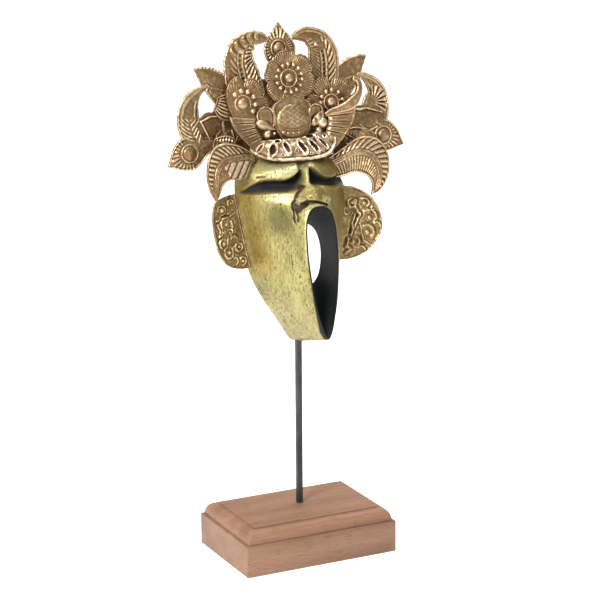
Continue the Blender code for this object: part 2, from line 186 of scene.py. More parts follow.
def span(tree, value, low, high, to_low=0.0, to_high=1.0):
    """A value carried from one range to another and held at its ends."""
    return add_node(tree, 'ShaderNodeMapRange', clamp=True,
                    inputs={0: value, 1: low, 2: high, 3: to_low, 4: to_high}).outputs[0]


def object_place(tree, scale, turn=(0, 0, 0)):
    """Object coordinates, stretched and turned, for a pattern that lies in the material."""
    place = add_node(tree, 'ShaderNodeTexCoord')
    return add_node(tree, 'ShaderNodeMapping', inputs={"Vector": place.outputs["Object"],
                    "Scale": scale, "Rotation": turn}).outputs[0]


def noise(tree, vector, scale, detail, roughness):
    """Fractal noise between about 0.3 and 0.7."""
    return add_node(tree, 'ShaderNodeTexNoise', inputs={
        "Vector": vector, "Scale": scale, "Detail": detail, "Roughness": roughness}).outputs[0]


def bump(tree, height, strength, distance):
    """A normal from a height in the material."""
    return add_node(tree, 'ShaderNodeBump', inputs={"Height": height, "Strength": strength,
                    "Distance": distance}).outputs[0]


def wood_grain_group():
    """Shader group for planed wood: long bands, fine fibres and short dark pores along X."""
    group = bpy.data.node_groups.new("wood_grain", 'ShaderNodeTree')
    for label in ("Light", "Dark", "Pore"):
        group.interface.new_socket(label, in_out='INPUT', socket_type='NodeSocketColor')
    group.interface.new_socket("Color", in_out='OUTPUT', socket_type='NodeSocketColor')
    group.interface.new_socket("Height", in_out='OUTPUT', socket_type='NodeSocketFloat')
    given = group.nodes.new('NodeGroupInput')
    taken = group.nodes.new('NodeGroupOutput')
    bands = noise(group, object_place(group, (5, 42, 60)), 1.0, 4, 0.55)
    fibres = noise(group, object_place(group, (30, 700, 700)), 1.0, 3, 0.6)
    pores = noise(group, object_place(group, (110, 1150, 1150)), 1.0, 1, 0.4)
    speckle = noise(group, object_place(group, (900, 900, 900)), 1.0, 2, 0.6)
    share = maths(group, 'ADD', span(group, bands, 0.36, 0.66, 0.0, 0.75),
                  span(group, fibres, 0.3, 0.7, 0.0, 0.35), clamp=True)
    plain = blend(group, share, given.outputs["Light"], given.outputs["Dark"])
    dark = maths(group, 'MULTIPLY', span(group, pores, 0.56, 0.68), span(group, speckle, 0.36, 0.58))
    colour = blend(group, maths(group, 'MULTIPLY', dark, 0.6), plain, given.outputs["Pore"])
    group.links.new(colour, taken.inputs["Color"])
    raised = maths(group, 'SUBTRACT', fibres, maths(group, 'MULTIPLY', dark, 0.6))
    group.links.new(raised, taken.inputs["Height"])
    return group


wood_grain = wood_grain_group()
wood_skin, wood_shader = plain_material("base_wood", WOOD_LIGHT, 0.5)
tree = wood_skin.node_tree
grain = add_node(tree, 'ShaderNodeGroup', node_tree=wood_grain,
                 inputs={"Light": (*WOOD_LIGHT, 1), "Dark": (*WOOD_DARK, 1), "Pore": (*WOOD_PORE, 1)})
place = add_node(tree, 'ShaderNodeSeparateXYZ')
tree.links.new(add_node(tree, 'ShaderNodeTexCoord').outputs["Object"], place.inputs["Vector"])
# The slab's sides below the moulding are painted darker than the top, as shade.
slab_side_shade = span(tree, place.outputs["Z"], SLAB_HEIGHT * MM, (SLAB_HEIGHT + SLAB_SHADE_FADE) * MM, 1.0, 0.0)
colour = blend(tree, slab_side_shade, grain.outputs["Color"], SLAB_SIDE_SHADE, 'MULTIPLY')
tree.links.new(colour, wood_shader.inputs["Base Color"])
tree.links.new(span(tree, grain.outputs["Height"], 0.2, 0.7, 0.62, 0.42), wood_shader.inputs["Roughness"])
tree.links.new(bump(tree, grain.outputs["Height"], 0.25, 0.0002), wood_shader.inputs["Normal"])


def ring_faces(rings, around, closed=False):
    """Quads between closed rings of points, and between the last ring and the first if closed."""
    ring = np.arange(rings if closed else rings - 1)[:, None]
    place = np.arange(around)[None, :]
    above = (ring + 1) % rings
    following = (place + 1) % around
    quads = np.stack(np.broadcast_arrays(ring * around + place, ring * around + following,
                                         above * around + following, above * around + place), axis=-1)
    return quads.reshape(-1, 4).tolist()


def tube_faces(rings, around):
    """Quads between closed rings of points, and a flat end on the first ring and on the last."""
    last = (rings - 1) * around
    return ring_faces(rings, around) + [tuple(range(around))[::-1], tuple(range(last, last + around))]


def stacked(outlines, heights):
    """The points, in metres, and faces of a bar whose outline changes from height to height."""
    rings = np.array([np.column_stack([outline, np.full(len(outline), height)])
                      for outline, height in zip(outlines, heights)])
    return rings.reshape(-1, 3) * MM, tube_faces(*rings.shape[:2])


def rounded_rectangle(half_x, half_y, radius, steps):
    """Points round a rectangle whose corners are quarter circles, from the lower right one on."""
    turns = np.linspace(0, pi / 2, steps)
    corners = []
    for quarter, (side_x, side_y) in enumerate(((1, -1), (1, 1), (-1, 1), (-1, -1))):
        angle = turns + (quarter - 1) * pi / 2
        corners.append(np.column_stack([side_x * (half_x - radius) + radius * np.cos(angle),
                                        side_y * (half_y - radius) + radius * np.sin(angle)]))
    return np.vstack(corners)


def base_profile():
    """Inset and height up the block's side: eased foot, slab, step, quarter round, step, top."""
    turns = np.linspace(0, pi / 2, 7)
    ease = EASED_EDGE
    rows = [(ease * (1 - sin(turn)), ease * (1 - cos(turn))) for turn in turns]
    rows += [(ease * (1 - cos(turn)), SLAB_HEIGHT - ease + ease * sin(turn)) for turn in turns]
    low, high = SLAB_HEIGHT, BASE_HEIGHT - MOULDING_STEP
    outer, inner = OUTER_LEDGE, MOULDING_WIDTH - INNER_LEDGE
    rows += [(outer, low)]
    rows += [(inner - (inner - outer) * cos(turn), low + (high - low) * sin(turn))
             for turn in np.linspace(0.02, pi / 2, 16)]
    rows += [(MOULDING_WIDTH - 0.3, high - 0.1), (MOULDING_WIDTH, high)]
    rows += [(MOULDING_WIDTH + ease * (1 - cos(turn)), BASE_HEIGHT - ease + ease * sin(turn))
             for turn in turns]
    return rows


insets, heights = np.array(base_profile()).T
outlines = [rounded_rectangle(BASE_LENGTH / 2 - inset, BASE_DEPTH / 2 - inset, CORNER_RADIUS, CORNER_STEPS)
            for inset in insets]
base = new_piece("base_block", *stacked(outlines, heights), wood_skin)
base.data.set_sharp_from_angle(angle=radians(40))
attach(base, "root")
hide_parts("base")


# Rod
# A square iron bar, blackened and left dull, is driven into the block and up into the mask's chin.
ROD_SIDE = 4.5
ROD_X = 3.0
ROD_Y = 2.5
ROD_FOOT = 21.6
ROD_TOP = 189.8
ROD_EDGE = 0.45
ROD_CORNER_STEPS = 4
ROD_RINGS = 24
IRON_COLOUR = (0.021, 0.025, 0.026)
IRON_WORN = (0.065, 0.070, 0.070)

iron_skin, iron_shader = plain_material("rod_iron", IRON_COLOUR, 0.42, 0.55)
tree = iron_skin.node_tree
scale_marks = noise(tree, object_place(tree, (420, 420, 90)), 1.0, 4, 0.6)
worn = noise(tree, object_place(tree, (60, 60, 18)), 1.0, 3, 0.6)
colour = blend(tree, span(tree, worn, 0.42, 0.66), IRON_COLOUR, IRON_WORN)
tree.links.new(colour, iron_shader.inputs["Base Color"])
tree.links.new(span(tree, scale_marks, 0.3, 0.7, 0.34, 0.58), iron_shader.inputs["Roughness"])
tree.links.new(bump(tree, scale_marks, 0.3, 0.0002), iron_shader.inputs["Normal"])

outline = rounded_rectangle(ROD_SIDE / 2, ROD_SIDE / 2, ROD_EDGE, ROD_CORNER_STEPS) + (ROD_X, ROD_Y)
heights = np.linspace(ROD_FOOT, ROD_TOP, ROD_RINGS)
rod = new_piece("iron_rod", *stacked([outline] * ROD_RINGS, heights), iron_skin)
rod.data.set_sharp_from_angle(angle=radians(60))
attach(rod, "root")
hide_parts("rod")


# Face
# One piece of light wood is carved to a deep wedge around a tall open mouth and hollowed behind.
# It is painted gold, worn thin and scratched, with the mouth and the eye slits painted black.
MASK_LEAN = radians(8.6)
MASK_FOOT = (3.0, -4.718, 173.99)
BACK_OUTLINE = [(0, 1.5), (6.5, 5), (12.5, 14.5), (20, 26), (28, 38.5), (35, 51), (41, 66),
                (45.5, 88), (48.3, 108), (49.3, 125), (47.5, 140), (39.5, 152), (23, 159), (0, 161)]
RIM_OUTLINE = [(0, 8.2), (2.2, 10.8), (5.0, 18), (8.6, 33), (10.9, 50), (12.7, 70), (13, 85),
               (12.5, 97), (10.2, 106.5), (5.8, 111.3), (0, 112.6)]
HOLLOW_OUTLINE = [(0, 37), (9, 38.5), (18, 44), (27, 55), (34, 70), (38.5, 90), (41, 110),
                  (41.5, 124), (38.5, 137), (30, 146), (16, 151), (0, 152.5)]
THROAT_OUTLINE = [(0, 46.5), (8, 48.5), (14.2, 56), (17.3, 68), (17.4, 80), (14.2, 91),
                  (8, 96.8), (0, 98.5)]
RIM_DEPTH = 50.0
HOLLOW_DEPTH = 9.0
RIM_MIDDLE = (0, 58)
RIM_HALF = (13, 54)
LIP_INSET = 0.6
LIP_DEPTH = 48.6
FACE_AROUND = 420
FACE_OUT = 130
# Values per point: black paint, painted shade (fold), tarnish and ochre that are partly painted shade
# (dull, brown), painted highlight and bare wood.
FACE_VALUES = ("black", "fold", "dull", "brown", "painted_highlight", "bare")
# Painted highlight colour for the face's bright spots and lines.
PAINT_HIGHLIGHT = (0.66, 0.63, 0.36)
PAINT_LIGHT = (0.435, 0.375, 0.150)
PAINT_MIDDLE = (0.185, 0.155, 0.057)
PAINT_OCHRE = (0.215, 0.138, 0.023)
# Tarnished-paint colour, also laid on as painted shade on the right side and under the crown band.
PAINT_TARNISH_AND_SHADE = (0.130, 0.121, 0.044)
PAINT_SPECK = (0.035, 0.028, 0.015)
# Painted shade colour for the creases, the brow, beside the nose and round the eye slits.
CREASE_SHADE_COLOUR = (0.027, 0.013, 0.010)
BLACK_PAINT = (0.0085, 0.0095, 0.0098)
BLACK_ROUGHNESS = 0.7
BARE_WOOD = (0.11, 0.065, 0.035)


def in_world(points):
    """Rows of (x, depth, height) in the mask's leaning frame, in millimetres, as metres in the room."""
    x, depth, height = np.asarray(points, float).T
    return np.column_stack([MASK_FOOT[0] + x,
                            MASK_FOOT[1] - depth * cos(MASK_LEAN) + height * sin(MASK_LEAN),
                            MASK_FOOT[2] + depth * sin(MASK_LEAN) + height * cos(MASK_LEAN)]) * MM


def smoothstep(low, high, value):
    """0 below low, 1 above high, and a smooth S between them."""
    share = np.clip((value - low) / (high - low), 0, 1)
    return share * share * (3 - 2 * share)


def hump(value, width):
    """A bell of height 1 around 0."""
    return np.exp(-(value / width) ** 2)


def curve_through(rows, count):
    """Even steps along a smooth Catmull-Rom curve through rows of (x, height, ...)."""
    knots = np.array(rows, float)
    ends = np.vstack([2 * knots[0] - knots[1], knots, 2 * knots[-1] - knots[-2]])
    place = np.linspace(0, len(knots) - 1, 60 * (len(knots) - 1) + 1)
    first = np.minimum(place.astype(int), len(knots) - 2)
    f = (place - first)[:, None]
    a, b, c, d = (ends[first + k] for k in range(4))
    fine = b + 0.5 * f * (c - a + f * (2 * a - 5 * b + 4 * c - d + f * (3 * b - a - 3 * c + d)))
    steps = np.linalg.norm(np.diff(fine[:, :2], axis=0), axis=1)
    travelled = np.concatenate([[0], np.cumsum(steps)])
    wanted = np.linspace(0, travelled[-1], count)
    return np.stack([np.interp(wanted, travelled, column) for column in fine.T], axis=1)


def full_ring(outline, half_count):
    """The whole closed outline from its half: up the right side and down the left."""
    right = curve_through(outline, half_count + 1)
    left = right[-2:0:-1] * (-1, 1)
    return np.vstack([right, left])


def back_depth(height):
    """Depth of the wood's back face, deepest at the chin where the rod goes in."""
    return -11.75 * (1 - smoothstep(-30, 135, height))


EYE = {-1: [(1.2, 140, 140), (1.8, 138.4, 141.8), (4, 133.4, 141.0), (7, 129.9, 138.7), (10, 127.8, 136.6),
            (14, 126.0, 134.6), (18, 125.4, 133.8), (24, 125.8, 134.3), (30, 126.0, 134.6),
            (35, 125.6, 133.8), (40, 125.2, 131.4), (44, 125.4, 128.8), (48, 126, 126)],
       1: [(0.0, 132.0, 132.0), (0.8, 129.9, 134.0), (2.0, 129.6, 136.4), (3.4, 129.4, 139.0),
           (5.2, 129.2, 142.2), (6.6, 129.0, 141.0), (9, 128.8, 138.5), (12, 128.4, 135.8),
           (15.6, 127.8, 133.4), (20, 126.9, 132.3), (25, 126.1, 131.8), (30, 125.8, 132.2),
           (36, 125.8, 133.4), (42, 126.3, 133.2), (47, 127.8, 128.6)]}
NOSE_MIDDLE = ((124, 130, 132, 136.5, 142, 147), (-2.0, -2.8, -2.6, -0.5, 1.4, 2.2))
NOSE_TALL = ((115, 119, 124, 130, 136, 142, 147), (4.4, 5.0, 5.4, 6.0, 5.4, 3.2, 1.0))
NOSE_WIDE = ((115, 119, 123, 126, 128, 129.5, 131, 133, 147), (11, 12, 11.6, 10.6, 8.6, 5.0, 3.2, 2.7, 2.7))


def eye_edges(x):
    """Heights of the eye slit's lower and upper edge at a distance from the middle."""
    left, right = (np.array(EYE[side]).T for side in (-1, 1))
    lower, upper = (np.where(x < 0, np.interp(-x, left[0], left[row]), np.interp(x, right[0], right[row]))
                    for row in (1, 2))
    return lower, upper


def eye_mask(x, height, soft):
    """1 inside either eye slit and 0 outside it, with an edge of a given softness."""
    across = np.abs(x)
    lower, upper = eye_edges(x)
    inside = smoothstep(-soft, soft, height - lower) * smoothstep(-soft, soft, upper - height)
    inner = np.where(x < 0, smoothstep(1.2, 2.4, across), smoothstep(0.0, 1.0, across))
    return inside * inner * (1 - smoothstep(45, 48.5, across))


def nose_relief(x, height):
    """Narrow bridge, broad body, tip and two wings of the nose, joined softly and cut off below."""
    x = x - np.interp(height, *NOSE_MIDDLE)
    across = np.abs(x)
    wide = np.interp(height, *NOSE_WIDE)
    body = np.interp(height, *NOSE_TALL) * np.exp(-np.abs(x / wide) ** 3.4)
    tip = 7.0 * np.exp(-((x / 5.4) ** 2 + ((height - 121.8) / 5.0) ** 2) ** 1.3)
    wing = 7.6 * np.exp(-(((across - 10.4) / 4.4) ** 2 + ((height - 119.6) / 3.9) ** 2) ** 1.5)
    joined = (body ** 3 + tip ** 3 + wing ** 3) ** (1 / 3)
    curl = hump(np.hypot(across - 9.6, height - 119.8) - 2.7, 0.6) * smoothstep(-2, 1, 11.2 - across)
    bottom = 117.4 - 0.9 * hump(across - 11, 3) - 0.26 * np.maximum(x, 0)
    return (joined - 1.5 * curl) * smoothstep(-0.8, 0.8, height - bottom)


def crease(x, height, path, width):
    """1 on a path of (x, height) points and 0 away from it."""
    line = curve_through(path, 90)
    squared = (x[..., None] - line[:, 0]) ** 2 + (height[..., None] - line[:, 1]) ** 2
    return hump(np.sqrt(squared.min(axis=-1)), width)


LEFT_FOLD = [(-6.4, 129.2), (-10.5, 126.1), (-14.6, 122.3), (-16.2, 119.1), (-17.2, 116.8), (-17.6, 114.0),
             (-17.4, 111.6)]
LEFT_TAILS = ([(-17.4, 111.8), (-17.8, 108.4), (-18.2, 105.3), (-18.2, 101.8)],
              [(-15.6, 111.2), (-15.9, 107.8), (-16.0, 105.1), (-16.6, 102.6)])
RIGHT_FOLD = [(3.6, 128.6), (7.2, 127.4), (10.4, 125.6), (12.4, 122.4)]
UNDER_NOSE = [(-13.0, 117.4), (-10.4, 117.8), (-6.8, 117.8), (-1.2, 117.0), (1.7, 115.7), (5.5, 114.5),
              (7.9, 113.6)]
LIP_FOLD = [(-12.5, 111.2), (-10.2, 112.5), (-8.0, 113.6), (-5.6, 114.6), (-2.2, 115.3), (2.8, 113.9)]
NOSE_EDGE = [(4.4, 126.9), (-1.9, 124.7), (-6.3, 122.6), (-10.9, 121.0), (-13.1, 119.3)]
LEFT_NOSTRIL = [(-15.2, 120.4), (-15.3, 118.7), (-14.2, 116.0), (-13.1, 115.7), (-12.9, 117.6),
                (-12.2, 119.2), (-10.6, 119.5), (-6.6, 119.2), (-2.4, 118.7), (2.4, 117.3), (6.1, 115.9)]
RIGHT_NOSTRIL = [(4.7, 117.2), (5.8, 119.1), (7.4, 119.8), (10.2, 118.4), (11.4, 115.2)]
BROW_MARK = [(-36.6, 138.4), (-33.6, 138.5), (-31.2, 138.1)]
BROW_FOLD = [(-40, 133.6), (-34, 138.2), (-28.5, 139.6), (-21.5, 140.4), (-14, 139.4)]


def under_nostril(x, height):
    """1 in the dark wedge below the left nostril and 0 away from it."""
    above_lip = smoothstep(-0.6, 0.6, height - 108.4 - 0.745 * (x + 16.2))
    inside = above_lip * smoothstep(-0.6, 0.6, 116.6 - height)
    return inside * smoothstep(-0.6, 0.6, x + 16.6) * (1 - smoothstep(-8.5, -4.5, x))


def face_relief(x, height, from_rim):
    """Everything carved on the face, as depth added to the plain wedge."""
    across = np.abs(x)
    lower, upper = eye_edges(x)
    over_eye = smoothstep(3, 7, across) * (1 - smoothstep(38, 46, across))
    brow = 6.6 * hump(height - 146, 9.0) * (1 - smoothstep(18, 42, across))
    bulge = 4.2 * smoothstep(-0.6, 2.6, height - upper) * (1 - smoothstep(5, 17, height - upper)) * over_eye
    dip = -3.0 * hump(x + 0.5, 3.4) * hump(height - 147, 7)
    lid = 1.9 * hump(height - lower + 1.6, 1.5)
    lid = lid * smoothstep(9, 14, across) * (1 - smoothstep(38, 46, across))
    slit = -6.4 * eye_mask(x, height, 0.9) * (1 - 0.8 * smoothstep(24, 40, across))
    cheek = 1.9 * hump(across - 24, 9) * hump(height - 119, 6)
    cheek = cheek - 2.0 * hump(across - 25, 8) * hump(height - 104, 10)
    upper_lip = smoothstep(96, 104, height)
    fold = -0.9 * hump(from_rim - 1.5, 0.5) * upper_lip * (1 - smoothstep(14, 18, across))
    fold = fold + 0.5 * hump(from_rim - 2.0, 0.6) * (1 - upper_lip)
    lines = 1.3 * crease(x, height, LIP_FOLD, 0.85) - 2.0 * crease(x, height, UNDER_NOSE, 0.9)
    lines = lines - 2.1 * crease(x, height, LEFT_FOLD, 0.9) - 1.3 * under_nostril(x, height)
    lines = lines - sum(1.1 * crease(x, height, path, 0.6) for path in LEFT_TAILS)
    lines = lines + 0.9 * crease(x, height, NOSE_EDGE, 0.8) + 1.0 * crease(x, height, LEFT_NOSTRIL, 0.7)
    lines = lines + 1.1 * crease(x, height, RIGHT_NOSTRIL, 0.7) - 1.2 * crease(x, height, RIGHT_FOLD, 1.0)
    lines = lines - 0.6 * crease(x, height, BROW_FOLD, 0.8)
    knife = 0.10 * np.sin(0.9 * x + 0.31 * height) * np.sin(0.42 * height - 0.2 * x)
    return brow + bulge + dip + lid + slit + cheek + fold + lines + knife + nose_relief(x, height)


def face_stains(x, height, to_edge):
    """How tarnished and how brown the paint is, partly as painted shade, and where painted highlights fall,
    from 0 to 1.
    """
    cheek = 1.15 * np.exp(-(((x + 26) / 8.5) ** 2 + ((height - 105) / 12) ** 2) ** 1.4)
    cheek = cheek + 0.5 * np.exp(-(((x + 19) / 4) ** 2 + ((height - 84) / 14) ** 2))
    temple = 0.25 * smoothstep(132, 140, height) * smoothstep(28, 44, -x)
    # The top of the forehead is painted duller, as shade under the crown band.
    forehead = 0.7 * smoothstep(150, 157, height) + temple
    # The right side, away from the light, is painted duller, as shade; the cheek patch and nose are
    # tarnish.
    dull = np.maximum(np.maximum(cheek, forehead), 0.55 * smoothstep(4, 20, x))
    dull = np.maximum(dull, 0.3 * (1 - smoothstep(66, 96, height)))
    edge = (1 - smoothstep(11, 27, to_edge)) * smoothstep(50, 76, height) * np.where(x < 0, 1, 0.6)
    edge = edge * (1 - 0.7 * smoothstep(128, 138, height))
    nose = 1.3 * np.exp(-(((x + 2) / 12.5) ** 2 + ((height - 122.5) / 6.5) ** 2) ** 2)
    dull = np.maximum(dull, 0.5 * nose)
    # The right side is also painted browner, as shade; the edges and nose are ochre paint.
    brown = np.maximum(np.maximum(edge, 0.5 * nose), 0.9 * smoothstep(8, 24, x))
    # Painted highlights under the left eye slit and on the left of the forehead.
    painted_highlight = np.exp(-(((x + 22) / 13) ** 2 + ((height - 121.5) / 3.6) ** 2))
    painted_highlight = painted_highlight + 1.3 * np.exp(-(((x + 17) / 14) ** 2 + ((height - 144) / 5.5) ** 2))
    return np.clip(dull, 0, 1), np.clip(brown, 0, 1), np.clip(painted_highlight, 0, 1)


def fold_shade(x, height):
    """Painted shade in grooves, by the nose, at the brow and round the eyes, and how far each point is on a
    raised edge.
    """
    dark_lines = ((LEFT_FOLD, 0.9, 1.0), (LEFT_TAILS[0], 0.55, 0.9), (LEFT_TAILS[1], 0.55, 0.9),
                  (RIGHT_FOLD, 1.0, 0.35), (UNDER_NOSE, 1.0, 1.0))
    grooves = [share * crease(x, height, path, width) for path, width, share in dark_lines]
    raised_edges = (LIP_FOLD, LEFT_NOSTRIL, RIGHT_NOSTRIL)
    raised = np.maximum.reduce([crease(x, height, path, 0.7) for path in raised_edges])
    grooves = np.clip(np.maximum.reduce([*grooves, under_nostril(x, height)]) - 0.8 * raised, 0, 1)
    beside_nose = 0.42 * np.exp(-(((x - 8.4) / 3.4) ** 2 + ((height - 122.5) / 4) ** 2))
    brow = np.maximum(0.18 * crease(x, height, BROW_FOLD, 0.8), 0.8 * crease(x, height, BROW_MARK, 0.7))
    shade = np.maximum.reduce([grooves, beside_nose, brow]) + 0.5 * eye_mask(x, height, 2.2)
    return np.clip(shade, 0, 1), raised


def face_paint(x, height, from_rim, to_edge):
    """The values named in FACE_VALUES, from 0 to 1, for points on the front of the face."""
    # Near the slits' lower edge the black is painted lighter, as light falling on the slit's floor.
    lit_slit_floor = 1 - smoothstep(0.4, 3.0, height - eye_edges(x)[0])
    eye = eye_mask(x, height, 0.9) * (1 - 0.3 * lit_slit_floor)
    black = np.maximum(eye, 1 - smoothstep(0.7, 1.3, from_rim))
    fold, raised = fold_shade(x, height)
    dull, brown, painted_highlight = face_stains(x, height, to_edge)
    # Painted highlights along the mouth's rim, the nose's edge and the raised folds.
    rim_highlight = 0.9 * hump(from_rim - 1.7, 0.7) * smoothstep(60, 80, height) * (1 - smoothstep(2, 8, x))
    nose_highlight = 0.8 * crease(x, height, NOSE_EDGE, 0.8)
    painted_highlight = np.maximum.reduce([painted_highlight, rim_highlight, nose_highlight, 0.6 * raised])
    return black, fold, dull, brown, painted_highlight, 0 * x


def face_rings():
    """Closed rings over the face, round its edge, over the hollow back and out of the mouth.

    The front runs from the mouth's rim to the wood's edge, falling back almost evenly. Each point
    also gets the values named in FACE_VALUES.
    """
    rim, back, hollow, throat = (full_ring(outline, FACE_AROUND // 2) for outline in
                                 (RIM_OUTLINE, BACK_OUTLINE, HOLLOW_OUTLINE, THROAT_OUTLINE))
    cut_in = 0.05 * smoothstep(20, 70, back[:, 1]) + 0.075 * smoothstep(123, 136, back[:, 1])
    cut_in = cut_in * (1 - 0.6 * hump(back[:, 1] - 112, 12))
    back[:, 0] *= np.where(back[:, 0] > 0, 1 - cut_in, 1)
    edge = back_depth(back[:, 1])
    top_wall = 0.05 + 6.0 * smoothstep(135, 157, back[:, 1])
    reach = np.linalg.norm(back - rim, axis=1)
    rings, painted = [], []
    for share in np.linspace(0, 1, FACE_OUT):
        x, height = (rim + (back - rim) * share).T
        from_rim = reach * share
        fade = min(1, share * 14) * min(1, (1 - share) * 8)
        relief = face_relief(x, height, from_rim) * fade - 0.9 * hump(from_rim, 0.5)
        depth = edge + (RIM_DEPTH - edge) * (1 - share ** 1.06) + top_wall * share ** 7 + relief
        rings.append(np.column_stack([x, depth, height]))
        painted.append(face_paint(x, height, from_rim, reach * (1 - share)))
    nothing = np.zeros(FACE_AROUND)
    rings.append(np.column_stack([back[:, 0], edge, back[:, 1]]))
    for share, sink in ((0.0, 0.0), (0.04, 0.42), (0.12, 0.72), (0.25, 0.9), (0.5, 1.0), (0.97, 1.0)):
        x, height = (hollow + (throat - hollow) * share).T
        depth = back_depth(height)
        rings.append(np.column_stack([x, depth + (HOLLOW_DEPTH - depth) * sink, height]))
    painted += [(nothing,) * 5 + (nothing + 1,)] * (len(rings) - len(painted))
    lip = RIM_MIDDLE + (rim - RIM_MIDDLE) * (1 - LIP_INSET / np.array(RIM_HALF))
    for share in np.concatenate([[0.0, 0.03], np.linspace(0.1, 1.0, 24)]):
        x, height = (throat + (lip - throat) * share).T
        depth = HOLLOW_DEPTH + 0.8 * smoothstep(0, 0.06, share) + (LIP_DEPTH - HOLLOW_DEPTH) * share
        rings.append(np.column_stack([x, nothing + depth, height]))
    painted += [(nothing + 1,) + (nothing,) * 5] * (len(rings) - len(painted))
    return np.array(rings), np.array(painted).transpose(1, 0, 2).reshape(len(FACE_VALUES), -1)


def read_value(tree, label):
    """A value that a piece carries at each of its points."""
    return add_node(tree, 'ShaderNodeAttribute', attribute_name=label).outputs["Fac"]


def worn_specks_group():
    """Shader group for old paint: small chipped specks, scratches down the surface and patches."""
    group = bpy.data.node_groups.new("worn_specks", 'ShaderNodeTree')
    for label in ("Specks", "Scratches", "Patches"):
        group.interface.new_socket(label, in_out='OUTPUT', socket_type='NodeSocketFloat')
    taken = group.nodes.new('NodeGroupOutput')
    turned = object_place(group, (1, 1, 0.42), (0.1, 0.25, 0))
    chips = noise(group, turned, 760, 2, 0.6)
    where = noise(group, turned, 60, 3, 0.6)
    specks = maths(group, 'MULTIPLY', span(group, chips, 0.585, 0.66), span(group, where, 0.33, 0.54))
    drawn = object_place(group, (1, 1, 0.055), (0.1, 0.32, 0))
    lines = noise(group, drawn, 900, 2, 0.6)
    some = noise(group, object_place(group, (1, 1, 0.5)), 45, 2, 0.5)
    scratches = maths(group, 'MULTIPLY', span(group, lines, 0.52, 0.66), span(group, some, 0.34, 0.58))
    broad = noise(group, object_place(group, (1, 1, 0.42)), 46, 5, 0.68)
    fine = noise(group, object_place(group, (1, 1, 0.5)), 480, 4, 0.75)
    patches = maths(group, 'ADD', maths(group, 'MULTIPLY', broad, 0.52),
                    maths(group, 'MULTIPLY', fine, 0.48))
    group.links.new(specks, taken.inputs["Specks"])
    group.links.new(scratches, taken.inputs["Scratches"])
    group.links.new(patches, taken.inputs["Patches"])
    return group


# The face's colour holds gold paint, tarnish, ochre, scratches, specks and black paint, and also painted
# shade in the creases, round the eyes and on the side away from the light, and painted highlights on the
# left cheek and forehead and along the rim, the nose and the folds.
face_skin, face_shader = plain_material("face_paint", PAINT_LIGHT, 0.42)
face_shader.inputs["Specular IOR Level"].default_value = 0.18
tree = face_skin.node_tree
wear = add_node(tree, 'ShaderNodeGroup', node_tree=worn_specks_group())
black, fold, dull, brown, painted_highlight, bare = (read_value(tree, label) for label in FACE_VALUES)
patches = wear.outputs["Patches"]
colour = blend(tree, span(tree, patches, 0.45, 0.60, 0.0, 0.9), PAINT_LIGHT, PAINT_MIDDLE)
# Painted highlights.
colour = blend(tree, maths(tree, 'MULTIPLY', painted_highlight, 0.8), colour, PAINT_HIGHLIGHT)
# Tarnish, and painted shade on the right side and under the crown band, then ochre that is also painted
# shade on the right side.
tarnish_and_shade = maths(tree, 'MULTIPLY', dull, span(tree, patches, 0.30, 0.55, 0.55, 1.0))
colour = blend(tree, tarnish_and_shade, colour, PAINT_TARNISH_AND_SHADE)
ochre = maths(tree, 'MULTIPLY', brown, span(tree, patches, 0.35, 0.6, 0.55, 0.95))
colour = blend(tree, ochre, colour, PAINT_OCHRE)
colour = blend(tree, maths(tree, 'MULTIPLY', wear.outputs["Scratches"], 0.5), colour, PAINT_OCHRE)
colour = blend(tree, maths(tree, 'MULTIPLY', wear.outputs["Specks"], 0.8), colour, PAINT_SPECK)
# Painted shade in the creases and round the eye slits.
colour = blend(tree, span(tree, fold, 0.1, 0.65, 0.0, 0.97), colour, CREASE_SHADE_COLOUR)
colour = blend(tree, black, colour, BLACK_PAINT)
colour = blend(tree, bare, colour, BARE_WOOD)
tree.links.new(colour, face_shader.inputs["Base Color"])
plain = maths(tree, 'SUBTRACT', 1.0, maths(tree, 'MAXIMUM', maths(tree, 'MAXIMUM', black, fold), bare))
tree.links.new(maths(tree, 'MULTIPLY', plain, 0.55), face_shader.inputs["Metallic"])
rough = span(tree, patches, 0.35, 0.65, 0.30, 0.50)
rough = maths(tree, 'MAXIMUM', rough, maths(tree, 'MULTIPLY', black, BLACK_ROUGHNESS))
tree.links.new(rough, face_shader.inputs["Roughness"])
uneven = maths(tree, 'SUBTRACT', patches, maths(tree, 'MULTIPLY', wear.outputs["Specks"], 0.5))
uneven = maths(tree, 'SUBTRACT', uneven, maths(tree, 'MULTIPLY', wear.outputs["Scratches"], 0.25))
tree.links.new(bump(tree, uneven, 0.6, 0.0007), face_shader.inputs["Normal"])

face_grid, face_values = face_rings()
face_faces = [quad[::-1] for quad in ring_faces(*face_grid.shape[:2], closed=True)]
face = new_piece("carved_face", in_world(face_grid.reshape(-1, 3)), face_faces, face_skin,
                 **dict(zip(FACE_VALUES, face_values)))
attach(face, "root")
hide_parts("face")


# Crown
# A thin brass sheet, cut out as a drop, curls and leaves and embossed from behind. It is lacquered
# brown, worn bright and painted with highlights on the raised lines, with patina and painted shade in
# the hollows, and fixed behind the top of the wood.
GAUGE = 0.9
CREST = 1.2
UNDER = 1.6
BRASS_METALLIC = 0.85
TONE_SPAN = 0.42
TONE_REACH = 0.9
